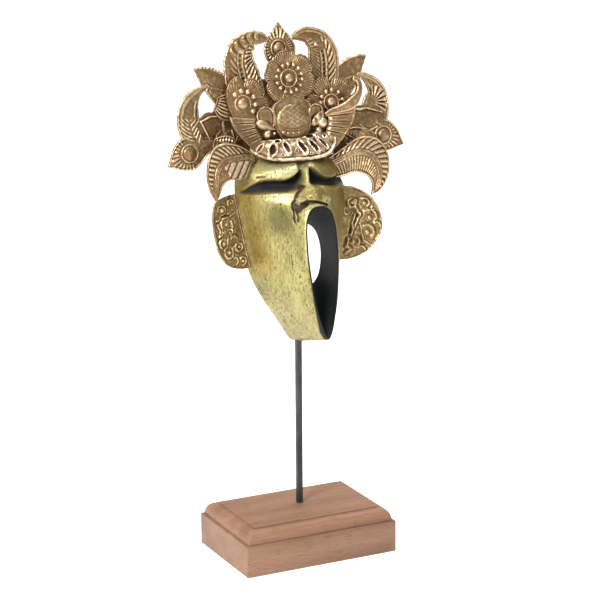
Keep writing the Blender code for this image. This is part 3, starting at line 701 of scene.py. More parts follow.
# The tone runs from SHEET_DARK in hollows to SHEET_BRIGHT on raised lines, partly patina and wear and
# partly painted shade and highlight. SHEET_ROSE is a painted highlight where the brass is polished.
SHEET_DARK = (0.045, 0.022, 0.009)
SHEET_MIDDLE = (0.236, 0.150, 0.068)
SHEET_BRIGHT = (0.68, 0.52, 0.335)
SHEET_ROSE = (0.62, 0.475, 0.345)
WARM_STAIN = (0.95, 0.78, 0.68)
CROWN_FIELD = [(0, 150, 52, -2.2), (0, 160, 53.5, -2.2), (0, 172, 53, -2.2), (0, 186, 52, -2.2),
               (0, 199, 49, -2.2), (0, 208, 40, -2.2), (0, 214, 24, -2.2)]
TOP_DROP = [(-0.5, 206, 7, -1.5), (-0.5, 221, 8, -1.5), (-0.6, 230, 12.5, -1.5), (-0.8, 238, 13.6, -1.5),
            (-0.8, 246, 9.6, -1.5), (-0.7, 252.5, 4, -1.5), (-0.6, 257.5, 0.4, -1.5)]
TOP_CURL_ROOT = {-1: [(31.5, 199, 16.4, -1.2), (34.6, 214, 15.4, -1.2), (36.6, 229, 13.4, -1.2)],
                 1: [(35, 199, 12.5, -1.2), (36.6, 214, 13.1, -1.2), (36.8, 229, 13.2, -1.2)]}
TOP_CURL_END = [(33.0, 239.2, 10.8, -1.2), (25, 245.6, 7.0, -1.2), (17.4, 246.4, 4.9, -1.2),
                (10.5, 244.6, 1.6, -1.2)]
UPPER_LEAF = [(43, 198, 9, -1.8), (54, 209.5, 11, -1.8), (64, 218.5, 8.6, -1.8), (71, 223.7, 4.3, -1.8),
              (75.5, 226, 0.5, -1.8)]
UNDER_LEAF = [(44, 194, 7, -0.9), (52, 200, 7.5, -0.9), (60, 205.5, 5.5, -0.9), (67, 210, 2.2, -0.9)]
MID_CURL_ROOT = {-1: [(77, 166, 8, -1.3), (82.3, 177, 9.5, -1.3), (84, 188, 9.6, -1.3)],
                 1: [(75, 166, 10, -1.3), (79.2, 177, 12.6, -1.3), (81.4, 187, 12.2, -1.3)]}
MID_CURL_END = [(82.4, 197, 8.2, -1.3), (78.2, 204.3, 5.6, -1.3), (72, 209.5, 3.2, -1.3),
                (66, 211.5, 1.5, -1.3)]
SIDE_DROP = [(64.5, 167, 5.6, -0.8), (71, 166, 7.4, -0.8), (79, 163.8, 11.5, -0.8), (87, 160.5, 13, -0.8),
             (94.5, 157, 9.6, -0.8), (100, 154.3, 4.2, -0.8), (104, 152.3, 0.5, -0.8)]
LUMP_LEAF = {-1: [(46, 182, 10, -0.9), (57, 181, 11.5, -0.9), (68, 178.5, 12, -0.9),
                  (75.5, 175.5, 8, -0.9)],
             1: [(46, 179, 10, -0.9), (57, 177.5, 10.5, -0.2), (68, 175.5, 10, 0.3), (78, 173.8, 9.4, 0.5),
                 (86, 173, 6.5, 0.3)]}
SHELL_LEAF = [(45, 175, 8, -1.0), (54, 168, 9.8, 0.5), (61.5, 160, 9, 7.6), (65.5, 152, 5, 13.4)]
BACK_PETAL = [(40, 190, 7, 1.2), (47, 192.5, 10, 1.2), (54.5, 195.5, 10.5, 1.2), (61, 198.5, 5.0, 1.2)]
SHELL = {-1: [(64.6, 169.0, 3.2, 2.6), (60.6, 167.6, 5.6, 3.6), (55.6, 166.4, 6.8, 4.2),
              (50.4, 165.4, 5.6, 4.4), (47, 164.8, 2.6, 4.2)],
         1: [(50.5, 167, 2.6, 3.2), (56, 165.4, 5.0, 4.0), (63, 163.6, 5.6, 4.8), (70, 162.6, 4.2, 4.8),
             (75.5, 163, 1.4, 4)]}
LOW_LEAF_TOP = {-1: [(33.9, 154.9), (38.8, 159.4), (48.9, 164.9), (59.1, 167.3), (67.0, 166.5),
                     (72.5, 163.3), (76.3, 157.4), (78.4, 150.1), (79.2, 141.2), (77.1, 130.5),
                     (72.1, 121.5)],
                1: [(29.6, 147.6), (42.1, 154.7), (52.5, 160.6), (62.2, 162.4), (71.3, 160.1),
                    (77.2, 154.3), (80.6, 146.5), (81.3, 136.4), (78.4, 126.6), (71.5, 118.2),
                    (62.8, 114.8)]}
LOW_LEAF_LOW = {-1: [(38.4, 146.5), (42.0, 141.6), (46.3, 137.6), (49.5, 137.4), (53.0, 138.0),
                     (57.0, 138.3), (61.1, 137.8), (64.4, 135.9), (66.8, 132.6), (68.9, 128.2),
                     (72.1, 121.5)],
                1: [(36.2, 131.2), (41.5, 131.7), (46.2, 133.3), (49.6, 134.0), (53.5, 133.6),
                    (57.5, 132.2), (61.3, 129.6), (63.8, 125.6), (64.5, 120.4), (62.8, 114.8)]}
LOW_LEAF_DEPTHS = {-1: (9.4, 12, 14, 15.3, 15.5, 15.0, 14.5), 1: (8.0, 11.5, 14, 15.3, 15.5, 15.0, 14.5)}
LOW_LEAF_LINE = ((0, 0.25, 0.5, 0.75, 1.0), (-3.6, -3.0, -1.0, 1.6, 2.6))
LEFT_FACETS = ([(73.9, 185), (65.1, 188.3), (55.1, 188), (55.6, 180), (55.7, 173), (63.3, 167.9),
                (66.8, 169), (71, 177.7), (73.9, 185)],
               [(54, 189), (54.4, 174.3), (46.8, 170.4), (41, 172)], [(55.7, 173), (50.5, 176), (44, 174)])
RIGHT_FACETS = ([(53, 184.6), (58, 185.6), (61, 184.2), (66, 183.4), (71, 184.4), (77, 182.6),
                 (84, 180.6), (88, 179)],
                [(52, 171), (57, 168.6), (62, 167.4), (67, 168.4), (73, 165.8), (80, 168.5)])
SHELL_FOLDS = ([(48, 176), (47, 168), (50, 162), (56, 156)], [(43, 172), (46, 165), (44, 158)])
LEAF_FOLD = [(48, 203), (55, 204.5), (60, 208), (66, 213)]
# A boss's place, then the depth it sits at, the radii of its ball and ring, its rise and its rim.
TOP_BOSS = (-2.6, 237.2)
TOP_BOSS_SIZES = (1.6, 5.0, 6.3, 3.4, 0.7)
SIDE_BOSS = (85.5, 161.2)
SIDE_BOSS_SIZES = {-1: (1.9, 5.6, 6.9, 2.0, 0.6), 1: (2.0, 5.4, 7.0, 3.4, 0.9)}
BOSS_SIDES = 30
FAN_CENTRE = (77.6, 188.3)
CURL_BEAD = (30.3, 237.8)


def brass_group():
    """Shader group for lacquered brass sheet: dark in hollows, bright on raised lines, cloudy.

    The dark and bright tones are partly patina and wear and partly painted shade and highlight;
    the rose colour is a painted highlight where the sheet is polished.
    """
    group = bpy.data.node_groups.new("lacquered_brass", 'ShaderNodeTree')
    for label in ("Tone", "PolishAndHighlight"):
        group.interface.new_socket(label, in_out='INPUT', socket_type='NodeSocketFloat')
    for label in ("Dark", "Middle", "Bright", "Rose"):
        group.interface.new_socket(label, in_out='INPUT', socket_type='NodeSocketColor')
    group.interface.new_socket("Color", in_out='OUTPUT', socket_type='NodeSocketColor')
    for label in ("Roughness", "Height"):
        group.interface.new_socket(label, in_out='OUTPUT', socket_type='NodeSocketFloat')
    given = group.nodes.new('NodeGroupInput')
    taken = group.nodes.new('NodeGroupOutput')
    place = object_place(group, (1, 1, 1))
    clouds, hammer = noise(group, place, 70, 4, 0.6), noise(group, place, 330, 3, 0.55)
    fine, warm = noise(group, place, 1500, 2, 0.6), noise(group, place, 34, 4, 0.65)
    shifted = maths(group, 'ADD', given.outputs["Tone"], span(group, hammer, 0.35, 0.65, -0.2, 0.2))
    shifted = maths(group, 'ADD', shifted, span(group, clouds, 0.35, 0.65, -0.2, 0.2))
    low = span(group, shifted, -1.0, 0.0)
    high = span(group, shifted, 0.1, 1.0)
    colour = blend(group, low, given.outputs["Dark"], given.outputs["Middle"])
    colour = blend(group, high, colour, given.outputs["Bright"])
    shine = maths(group, 'MULTIPLY', given.outputs["PolishAndHighlight"], span(group, shifted, -0.6, 0.3), clamp=True)
    colour = blend(group, shine, colour, given.outputs["Rose"])
    colour = blend(group, span(group, warm, 0.45, 0.65, 0.0, 0.55), colour, WARM_STAIN, 'MULTIPLY')
    group.links.new(colour, taken.inputs["Color"])
    rough = maths(group, 'SUBTRACT', span(group, shifted, -1.0, 1.0, 0.5, 0.32),
                  maths(group, 'MULTIPLY', shine, 0.12))
    group.links.new(rough, taken.inputs["Roughness"])
    height = maths(group, 'ADD', maths(group, 'ADD', hammer, maths(group, 'MULTIPLY', clouds, 1.6)),
                   maths(group, 'MULTIPLY', fine, 0.2))
    group.links.new(height, taken.inputs["Height"])
    return group


brass_finish = brass_group()


def brass_material(name, middle, bright):
    """Brown lacquered brass that reads each point's tone, partly painted shade and highlight, and its
    polished highlight.
    """
    made, shader = plain_material(name, middle, 0.4, BRASS_METALLIC)
    tree = made.node_tree
    finish = add_node(tree, 'ShaderNodeGroup', node_tree=brass_finish, inputs={
        "Tone": read_value(tree, "tone"), "PolishAndHighlight": read_value(tree, "polish"), "Dark": (*SHEET_DARK, 1),
        "Middle": (*middle, 1), "Bright": (*bright, 1), "Rose": (*SHEET_ROSE, 1)})
    tree.links.new(finish.outputs["Color"], shader.inputs["Base Color"])
    tree.links.new(finish.outputs["Roughness"], shader.inputs["Roughness"])
    tree.links.new(bump(tree, finish.outputs["Height"], 0.45, 0.0009), shader.inputs["Normal"])
    return made


brass_skin = brass_material("sheet_brass", SHEET_MIDDLE, SHEET_BRIGHT)


def high_pass(relief, reach_along, reach_across):
    """How far each point of a relief stands above the mean of its neighbours."""
    total = np.zeros_like(relief)
    for along in (-reach_along, 0, reach_along):
        for across in (-reach_across, 0, reach_across):
            rows = np.clip(np.arange(relief.shape[0]) + along, 0, relief.shape[0] - 1)
            columns = np.clip(np.arange(relief.shape[1]) + across, 0, relief.shape[1] - 1)
            total += relief[np.ix_(rows, columns)]
    return relief - total / 9


def sheet(x, front, back, height, raised, at, side, steps):
    """A closed shell over a grid of places: its front, and its back at every other column.

    Each point also gets a tone, bright where the relief stands above its neighbours and dark
    below them, with the tint and polished highlight that the relief asked for. The tone is partly
    patina in the hollows and worn brass on the raised lines, and partly painted shade and painted
    highlight; the back is painted darker, as shade.
    """
    reach = [max(1, round(TONE_REACH / step)) for step in steps]
    tone = np.clip(high_pass(raised, *reach) / TONE_SPAN + at.tint, -1, 1)
    grid = np.concatenate([np.stack([side * x, front, height], axis=-1),
                           np.stack([side * x, back, height], axis=-1)[:, ::-2]], axis=1)
    tones = np.concatenate([tone, -0.3 + 0 * tone[:, ::-2]], axis=1)
    shine = np.concatenate([at.polish + 0 * tone, 0 * tone[:, ::-2]], axis=1)
    faces = tube_faces(*grid.shape[:2])
    faces = [face[::-1] for face in faces] if side < 0 else faces
    return grid.reshape(-1, 3), faces, tones.ravel(), shine.ravel()


def leaf(rows, along, across, relief, side=1, tilt=0.0, crest=CREST, under=UNDER,
         flat_back=False, uneven=0.0):
    """An embossed sheet lofted along rows of (x, height, half width, depth of its back).

    One parameter runs along the smooth curve and the other across it. The front rises to a crest
    in the middle, and relief(at) adds to it. The back follows the front a gauge behind, or is flat.
    """
    line = curve_through(rows, along)
    run = np.gradient(line[:, :2], axis=0)
    run /= np.linalg.norm(run, axis=1)[:, None]
    steps = np.linalg.norm(np.diff(line[:, :2], axis=0), axis=1)
    travelled = np.concatenate([[0], np.cumsum(steps)])[:, None]
    spread = np.linspace(-1, 1, across)
    v = (0.45 * spread + 0.55 * np.sin(pi * spread / 2))[None, :]
    half_width = line[:, 2:3]
    w = v * half_width
    wavy = np.sin(1.05 * travelled + 1.3 * np.sin(0.47 * travelled))
    snipped = uneven * np.minimum(1, half_width / 5) * wavy
    cut = w + snipped * v * np.abs(v)
    x = line[:, :1] + run[:, 1:] * cut
    height = line[:, 1:2] - run[:, :1] * cut
    back = line[:, 3:4] + tilt * w
    return embossed(x, height, v, half_width, travelled, back, relief, side, crest, under, flat_back)


def between(top, low, depths, along, across, relief, side):
    """An embossed sheet between its top edge and its low edge, with the depths of its back along it."""
    first, second = (curve_through(edge, along + 1)[:-1] for edge in (top, low))
    half_width = np.linalg.norm(second - first, axis=1)[:, None] / 2
    middle = (first + second) / 2
    travelled = np.concatenate([[0], np.cumsum(np.linalg.norm(np.diff(middle, axis=0), axis=1))])[:, None]
    v = np.linspace(-1, 1, across)[None, :]
    x, height = ((middle[:, k:k + 1] + v * (second - first)[:, k:k + 1] / 2) for k in (0, 1))
    back = np.interp(travelled / travelled[-1, 0], np.linspace(0, 1, len(depths)), depths) + 0 * v
    return embossed(x, height, v, half_width, travelled, back, relief, side, CREST, UNDER)


def embossed(x, height, v, half_width, travelled, back, relief, side, crest, under, flat_back=False):
    """The shell of a sheet over its places, with a crest in the middle and relief(at) added to it.

    at holds each point's place x and h, its way s along the sheet and w from the middle, both also
    as shares (share and v), the half width there, and the distance from the sheet's edge.
    """
    length = travelled[-1, 0]
    at = SimpleNamespace(x=x, h=height, s=travelled + 0 * v, w=v * half_width, v=v + 0 * travelled,
                         half=half_width + 0 * v, edge=(1 - np.abs(v)) * half_width, length=length,
                         share=travelled / length + 0 * v, tint=0.0, polish=0.0)
    slim = np.minimum(1, half_width / 4)
    raised = relief(at) * slim
    front = back + under + crest * (1 - v * v) * slim + raised
    back = back + 0 * front if flat_back else front - GAUGE
    steps = (at.length / len(travelled), 2 * half_width.mean() / v.size)
    return sheet(x, front, back, height, raised, at, side, steps)


def capped_faces(rings, around):
    """Faces over closed rings of points, and triangles to two poles that follow them, back and front."""
    k = np.arange(around)
    following = (k + 1) % around
    last = (rings - 1) * around
    back = np.stack([following, k, np.full(around, rings * around)], axis=1)
    front = np.stack([k + last, following + last, np.full(around, rings * around + 1)], axis=1)
    return ring_faces(rings, around) + back.tolist() + front.tolist()


def lathe(x, height, depth, profile, sides, tone, polish=0.0):
    """A round boss: rows of (radius, rise) turned about an axis to the front, closed at both ends."""
    rows = np.array(profile, float)
    turn = np.linspace(0, 2 * pi, sides, endpoint=False)[None, :]
    grid = np.stack([x + rows[:, :1] * np.cos(turn), depth + rows[:, 1:] + 0 * turn,
                     height + rows[:, :1] * np.sin(turn)], axis=-1)
    poles = [(x, depth + rows[0, 1], height), (x, depth + rows[-1, 1], height)]
    points = np.vstack([grid.reshape(-1, 3), poles])
    # Painted highlight on the profile's rises and painted shade at the back pole.
    rise = high_pass(rows[:, 1:2], 2, 0)[:, 0] / TONE_SPAN
    tones = np.clip(np.repeat(rise, sides) * 0.5 + tone, -1, 1)
    tones = np.concatenate([tones, [-0.4, tones[-1]]])
    return points, capped_faces(len(rows), sides), tones, np.full(len(points), polish)


def bead(x, height, depth, radius, tone=0.5, polish=0.0, sides=12):
    """A small ball sunk to just below its middle, whose tone, bright by default, is a painted highlight."""
    turns = np.linspace(-0.7, pi / 2 - 0.12, 7)
    profile = [(radius * cos(turn), radius * sin(turn)) for turn in turns]
    return lathe(x, height, depth, profile, sides, tone, polish)


def joined(name, shapes, skin):
    """One piece from many closed shapes that lie against each other."""
    points, faces, tones, shine = [], [], [], []
    start = 0
    for shape_points, shape_faces, shape_tones, shape_shine in shapes:
        points.append(shape_points)
        faces += [tuple(number + start for number in face) for face in shape_faces]
        tones.append(shape_tones)
        shine.append(shape_shine)
        start += len(shape_points)
    return new_piece(name, in_world(np.vstack(points)), faces, skin,
                     tone=np.concatenate(tones), polish=np.concatenate(shine))


def rim(at, tall=0.8, width=0.8, inset=0.8):
    """A rolled edge all round a leaf, with a shallow groove inside it."""
    inside = np.minimum(at.edge, (1 - at.share) * at.length + 0.3)
    return tall * hump(inside - inset, width) - 0.4 * tall * hump(inside - inset - 1.9 * width, 0.6 * width)


def stripes(phase, slim=1.0):
    """Rounded ridges one phase apart with a narrow groove between; slim below 1 thins them."""
    place = phase - np.floor(phase)
    raised = np.exp(-((place - 0.5) / (0.27 * slim)) ** 2)
    return 0.85 * raised - 0.6 * np.exp(-(np.minimum(place, 1 - place) / 0.12) ** 2)


def barbs(at, side, pitch, lean, start, stop, first, last):
    """Slanted strokes between two distances from the midrib on one side, tapering outwards.

    first and last bound them along the sheet, and lean is how far they slant for each mm outwards.
    """
    across = at.w * side
    share = np.clip((across - start) / (stop - start), 0, 1)
    window = smoothstep(start - 0.2, start + 0.7, across) * (1 - smoothstep(stop - 1.0, stop, across))
    window = window * smoothstep(first - 0.03, first + 0.02, at.share)
    window = window * (1 - smoothstep(last - 0.03, last + 0.03, at.share))
    bend = 0.05 * (across - start) ** 2
    return window * stripes((at.s - lean * across - bend) / pitch, 1 - 0.35 * share)


def ladder(at, pitch, stop):
    """Two rails along the midrib with rungs between sunken cells."""
    run = 1 - smoothstep(stop - 0.03, stop + 0.01, at.share)
    rung = 0.5 + 0.5 * np.cos(2 * pi * at.s / pitch)
    cells = -0.75 * (1 - rung ** 2) * np.exp(-(at.w / 1.4) ** 4)
    rails = 0.45 * hump(np.abs(at.w) - 2.1, 0.5) - 0.35 * hump(np.abs(at.w) - 3.1, 0.4)
    return run * (cells + rails)


def fan_strokes(at, centre, inner, outer, count, first, last):
    """Strokes that spread from a centre, between two radii and two angles in degrees."""
    x, height = at.x - centre[0], at.h - centre[1]
    away = np.hypot(x, height)
    turn = (np.degrees(np.arctan2(height, x)) - first) % 360 + first
    window = smoothstep(inner, inner + 1.2, away) * (1 - smoothstep(outer - 1.2, outer, away))
    window = window * smoothstep(first, first + 6, turn) * (1 - smoothstep(last - 6, last, turn))
    slim = 1 - 0.3 * smoothstep(inner, outer, away)
    return window * stripes((turn - first) / (last - first) * count, slim)


def ridge(at, path, width, tall):
    """A thin raised line along points of (x, height), with a groove at both sides of it."""
    nearest = np.full(at.x.shape, 1e9)
    for (x0, h0), (x1, h1) in zip(path[:-1], path[1:]):
        span_x, span_h = x1 - x0, h1 - h0
        share = ((at.x - x0) * span_x + (at.h - h0) * span_h) / (span_x ** 2 + span_h ** 2)
        share = np.clip(share, 0, 1)
        nearest = np.minimum(nearest, np.hypot(at.x - x0 - share * span_x, at.h - h0 - share * span_h))
    return tall * hump(nearest, width) - 0.35 * tall * hump(nearest - 2.0 * width, 0.6 * width)


def dents(at, deep, size=1.0):
    """Shallow hammer marks, from slow waves in place that bend one another."""
    x, h = at.x / size, at.h / size
    bent = x + 1.9 * np.sin(0.53 * h + 0.8) + 0.9 * np.sin(0.31 * x + 0.47 * h)
    skewed = h + 1.7 * np.sin(0.49 * x - 0.4) + 1.1 * np.sin(0.37 * h - 0.29 * x)
    return deep * (np.sin(0.83 * bent) * np.sin(0.71 * skewed) + 0.5 * np.sin(1.37 * skewed + 0.6 * bent))


# In the reliefs below, at.tint adds to the tone: bright edges and rims are painted highlights, and dark
# tints are painted shade.
def left_curl(at):
    """A ladder up the middle, strokes on both sides of it and broad bars across the tip."""
    at.tint = 0.42 * smoothstep(3.2, 1.0, at.edge) + 0.1
    marks = 0.55 * barbs(at, 1, 5.2, 0.9, 2.8, 8.2, 0.0, 0.5)
    strokes = 1.0 * barbs(at, -1, 5.0, 0.75, 3.6, np.maximum(4.2, at.half - 2.2), 0.0, 0.74)
    fan = 0.85 * barbs(at, 1, 6.0, -0.2, -2.0, np.maximum(2.4, 0.8 * at.half), 0.52, 0.86)
    return rim(at, 0.5, 0.6) + ladder(at, 3.7, 0.56) + marks + strokes + fan + dents(at, 0.10)


def right_curl(at):
    """A ladder up the middle, strokes outside it, finer ones inside and a smooth outer edge."""
    at.tint = 0.25 * smoothstep(4.6, 3.4, at.edge) * (at.w > 0)
    band = 0.55 * smoothstep(4.4, 3.4, at.edge) * (at.w > 0)
    strokes = 1.0 * barbs(at, 1, 5.0, 0.8, 3.4, np.maximum(4.2, at.half - 3.6), 0.0, 0.66)
    marks = 0.3 * barbs(at, -1, 3.4, 0.7, 3.0, np.maximum(3.6, at.half - 1.4), 0.0, 0.6)
    fan = 0.5 * barbs(at, -1, 4.2, 0.3, 0.8, np.maximum(2.0, 0.8 * at.half), 0.58, 0.8)
    return rim(at, 0.5, 0.6) + ladder(at, 3.5, 0.53) + band + strokes + marks + fan + dents(at, 0.05)


def mid_curl_left(at):
    """A herringbone at the root, a smooth outer edge and a raised inner line by the tip."""
    outer = at.w > 0
    at.tint = 0.36 * smoothstep(5.4, 3.4, at.edge) * outer + 0.05
    band = 0.5 * smoothstep(5.6, 4.2, at.edge) * outer * smoothstep(0.2, 0.4, at.share)
    low = 0.6 * barbs(at, 1, 3.3, 0.75, 0.6, np.maximum(1.8, at.half - 1.0), 0.0, 0.44)
    low = low + 0.8 * barbs(at, -1, 3.9, 0.5, 0.8, np.maximum(1.8, at.half - 0.8), 0.0, 0.4)
    along = smoothstep(0.42, 0.5, at.share) * (1 - smoothstep(0.7, 0.8, at.share))
    inner = 0.8 * along * hump(at.w + 0.55 * at.half, 0.9)
    return rim(at, 0.5, 0.7) + band + low + inner + dents(at, 0.05)


def mid_curl_right(at):
    """Rays across the widest part, a smooth outer edge and a raised inner line by the tip."""
    at.tint = 0.25 * smoothstep(4.2, 2.8, at.edge) + 0.22
    band = 0.5 * smoothstep(4.2, 3.2, at.edge) * (at.w > 0) * smoothstep(0.3, 0.45, at.share)
    rays = 1.1 * fan_strokes(at, FAN_CENTRE, 2.6, 14.6, 7, -42, 96)
    along = smoothstep(0.5, 0.56, at.share) * (1 - smoothstep(0.8, 0.9, at.share))
    inner = 0.7 * along * hump(at.w + 0.5 * at.half, 0.9)
    return rim(at, 0.6, 0.7) + band * (1 - np.abs(rays)) + rays + inner + dents(at, 0.05)


def top_drop(at):
    """Strokes all round the boss, longest towards the point."""
    at.tint = 0.1
    tip = 0.95 * fan_strokes(at, TOP_BOSS, 7.6, 17.5, 5, 52, 128)
    left = 0.6 * fan_strokes(at, TOP_BOSS, 7.4, 11.5, 9, 128, 262)
    right = 0.5 * fan_strokes(at, TOP_BOSS, 8.0, 14.0, 6, -8, 52)
    return rim(at, 0.5, 0.6) + tip + left + right


def side_drop_left(at):
    """Short strokes below and outside the boss, and longer ones towards the point."""
    at.tint = 0.2
    low = 0.6 * fan_strokes(at, SIDE_BOSS, 8.6, 13.2, 12, -112, 62)
    point = 0.5 * fan_strokes(at, SIDE_BOSS, 9.0, 16.5, 4, -52, 2)
    return rim(at, 0.7, 0.7) + np.where(np.abs(low) > np.abs(point), low, point) + dents(at, 0.06)


def side_drop_right(at):
    """Strokes on the outer side of the boss, cut off by the rim."""
    at.tint = 0.05
    flutes = 0.55 * fan_strokes(at, SIDE_BOSS, 8.4, 16.0, 13, -100, 84)
    return rim(at, 0.7, 0.7) + flutes * smoothstep(1.3, 2.2, at.edge) + dents(at, 0.08)


def upper_leaf_left(at):
    """A beaded upper edge and one fold along a dented sheet."""
    beads = 0.75 + 0.45 * np.cos(2 * pi * at.s / 2.6)
    top_edge = 0.75 * beads * hump(at.half + at.w - 0.9, 0.8)
    at.tint = 0.3 * smoothstep(2.2, 1.0, at.half + at.w)
    fold = ridge(at, LEAF_FOLD, 0.8, 0.6)
    return top_edge + fold + dents(at, 0.16, 1.5) + 0.3 * rim(at, 0.6)


def upper_leaf_right(at):
    """A raised upper edge along a dented sheet."""
    at.tint = 0.3 * smoothstep(2.0, 1.0, at.half + at.w) + 0.08
    top_edge = 0.7 * hump(at.half + at.w - 0.8, 0.7)
    return top_edge + 0.4 * rim(at, 0.7) + dents(at, 0.12, 1.6) + dents(at, 0.03, 0.4)


def under_leaf(at):
    """Faint slanted lines that fade towards the root."""
    lines = 0.3 * stripes((at.s + 1.2 * at.w) / 2.6) * smoothstep(0.8, 1.8, at.edge)
    return rim(at, 0.6) + lines * smoothstep(0.3, 0.5, at.share) + dents(at, 0.1)


def lump_left(at):
    """Flat facets painted dark as shade, with thin edges painted bright as highlights."""
    lines = sum(ridge(at, path, 0.7, 0.8) for path in LEFT_FACETS)
    at.tint = -0.5 + 0.55 * smoothstep(0.1, 0.5, lines)
    return lines + dents(at, 0.07) + 0.35 * rim(at)


def lump_right(at):
    """A crumpled dark field between two wavy edges painted bright as highlights."""
    lines = sum(ridge(at, path, 0.8, 0.9) for path in RIGHT_FACETS)
    at.tint = 0.04 + 0.3 * smoothstep(0.1, 0.5, lines)
    return lines + dents(at, 0.14, 1.2) + dents(at, 0.05, 0.4)


def shell_leaf(at):
    """Plain folds between the crown and the low leaf."""
    at.tint = -0.1
    folds = sum(ridge(at, path, 0.7, 0.6) for path in SHELL_FOLDS)
    return 0.5 * rim(at, 0.7) + folds + dents(at, 0.12)


def shell(at):
    """A small shell with a rolled rim and short flutes along its lower edge."""
    low = smoothstep(0.0, 0.25, at.v) * smoothstep(1.2, 1.8, at.edge) * (1 - smoothstep(4.4, 5.4, at.edge))
    at.tint = 0.04
    line = 0.6 * hump(at.edge - 6.2, 0.6) * smoothstep(-0.2, 0.1, at.v)
    return rim(at, 0.9, 0.7) + 0.7 * low * stripes(at.s / 2.5) + line + dents(at, 0.08)


def back_petal(at):
    """Eight long slots that spread to a bright rounded edge."""
    along = smoothstep(0.25, 0.4, at.share) * smoothstep(1.6, 2.6, (1 - at.share) * at.length)
    return rim(at, 0.6, 0.7) + 0.6 * stripes(at.v * 4.0, 1.05) * along * smoothstep(1.0, 1.8, at.edge)


def leaf_lines(at):
    """Three fine raised lines side by side, from the root outwards to the tip."""
    middle = at.w - np.interp(at.share, *LOW_LEAF_LINE) * np.minimum(1, at.half / 8)
    apart = 1.55 * np.minimum(1, at.half / 7)
    lines = sum(0.6 * hump(middle - step * apart, 0.42) for step in (-1, 0, 1))
    return lines, middle, apart


def low_leaf_left(at):
    """Fine lines along the leaf, barbs above them, and a few broad bars below them, painted bright as
    highlights with painted shade between.
    """
    lines, middle, apart = leaf_lines(at)
    top = smoothstep(1.2, 2.2, -middle - apart) * smoothstep(1.6, 2.6, at.edge)
    barb = 0.6 * top * stripes((at.s + 0.55 * at.w) / 3.4, 0.75) * (1 - smoothstep(0.8, 0.9, at.share))
    slots = (smoothstep(1.0, 1.8, middle - apart) * smoothstep(1.2, 2.0, at.edge)
             * smoothstep(0.04, 0.07, at.share) * (1 - smoothstep(0.46, 0.50, at.share)))
    bars = stripes((at.x + 0.62 * at.h) / 6.3 - 0.1, 1.45)
    at.tint = 0.04 + slots * np.where(bars > 0, 0.8, -0.5)
    at.polish = 0.6 * slots * smoothstep(0.1, 0.5, bars)
    return rim(at, 0.6, 0.7) + lines + barb + 0.9 * slots * bars + dents(at, 0.04)


def low_leaf_right(at):
    """Fine lines along the leaf, polished barbs with painted highlights above them and a fine comb below
    them.
    """
    lines, middle, apart = leaf_lines(at)
    top = smoothstep(1.0, 2.0, -middle - apart) * smoothstep(1.3, 2.2, at.edge)
    barb = 0.75 * top * stripes((at.s + 0.6 * at.w) / 3.9, 0.9) * (1 - smoothstep(0.86, 0.93, at.share))
    low = smoothstep(1.0, 1.8, middle - apart) * smoothstep(1.2, 2.0, at.edge)
    comb = 0.5 * low * stripes((at.s - 0.25 * at.w) / 2.7, 0.9) * (1 - smoothstep(0.66, 0.74, at.share))
    at.tint = 0.14
    at.polish = 0.4 * smoothstep(0.1, 0.5, barb)
    return rim(at, 0.7, 0.7) + lines + barb + comb + dents(at, 0.04)


def plain_sheet(at):
    """A sheet painted dark, as shade behind the pieces in front of it, with slow waves."""
    at.tint = -0.5
    return 0.12 * np.sin(0.9 * at.x) * np.sin(0.8 * at.h)


def ringed_boss(x, height, depth, ball, ring, tall, thick, tone=0.1):
    """A ball in a groove inside a rolled ring."""
    turns = np.linspace(0, pi / 2, 9)
    profile = [(ring + thick, -1.2), (ring + thick, 0.1), (ring + 0.75 * thick, 0.55), (ring, 0.85),
               (ring - 0.7 * thick, 0.5), (ring - thick, 0.0), (ball + 0.35, -0.35)]
    profile += [(ball * cos(turn) + 0.02, -0.2 + tall * sin(turn)) for turn in turns[:-1]]
    return lathe(x, height, depth, profile, BOSS_SIDES, tone)


middle_shapes = [leaf(CROWN_FIELD, 40, 37, plain_sheet, crest=0.3),
                 leaf(TOP_DROP, 130, 61, top_drop),
                 ringed_boss(*TOP_BOSS, *TOP_BOSS_SIZES)]
side_shapes = {}
for side, curl, upper, middle_curl, drop, lump, low in (
        (-1, left_curl, upper_leaf_left, mid_curl_left, side_drop_left, lump_left, low_leaf_left),
        (1, right_curl, upper_leaf_right, mid_curl_right, side_drop_right, lump_right, low_leaf_right)):
    side_shapes[side] = [
        leaf(TOP_CURL_ROOT[side] + TOP_CURL_END, 170, 61, curl, side, uneven=0.3 if side < 0 else 0.1),
        leaf(UPPER_LEAF, 80, 41, upper, side, crest=0.7, uneven=0.3),
        leaf(UNDER_LEAF, 50, 27, under_leaf, side, crest=1.0),
        leaf(MID_CURL_ROOT[side] + MID_CURL_END, 140, 45, middle_curl, side, uneven=0.15),
        leaf(SIDE_DROP, 90, 55, drop, side),
        leaf(LUMP_LEAF[side], 80, 57, lump, side, crest=1.4, uneven=0.5),
        leaf(SHELL_LEAF, 70, 45, shell_leaf, side, crest=1.6, uneven=0.3),
        between(LOW_LEAF_TOP[side], LOW_LEAF_LOW[side], LOW_LEAF_DEPTHS[side], 190, 61, low, side),
        leaf(SHELL[side], 50, 45, shell, side, crest=1.5)]
side_shapes[-1].append(leaf(BACK_PETAL, 60, 57, back_petal, -1, crest=0.8))
for side, sizes in SIDE_BOSS_SIZES.items():
    side_shapes[side].append(ringed_boss(side * SIDE_BOSS[0], SIDE_BOSS[1], *sizes))
side_shapes[1].append(bead(*CURL_BEAD, 1.6, 1.8))
crown_pieces = {"crown_middle": middle_shapes, "crown_left": side_shapes[-1], "crown_right": side_shapes[1]}
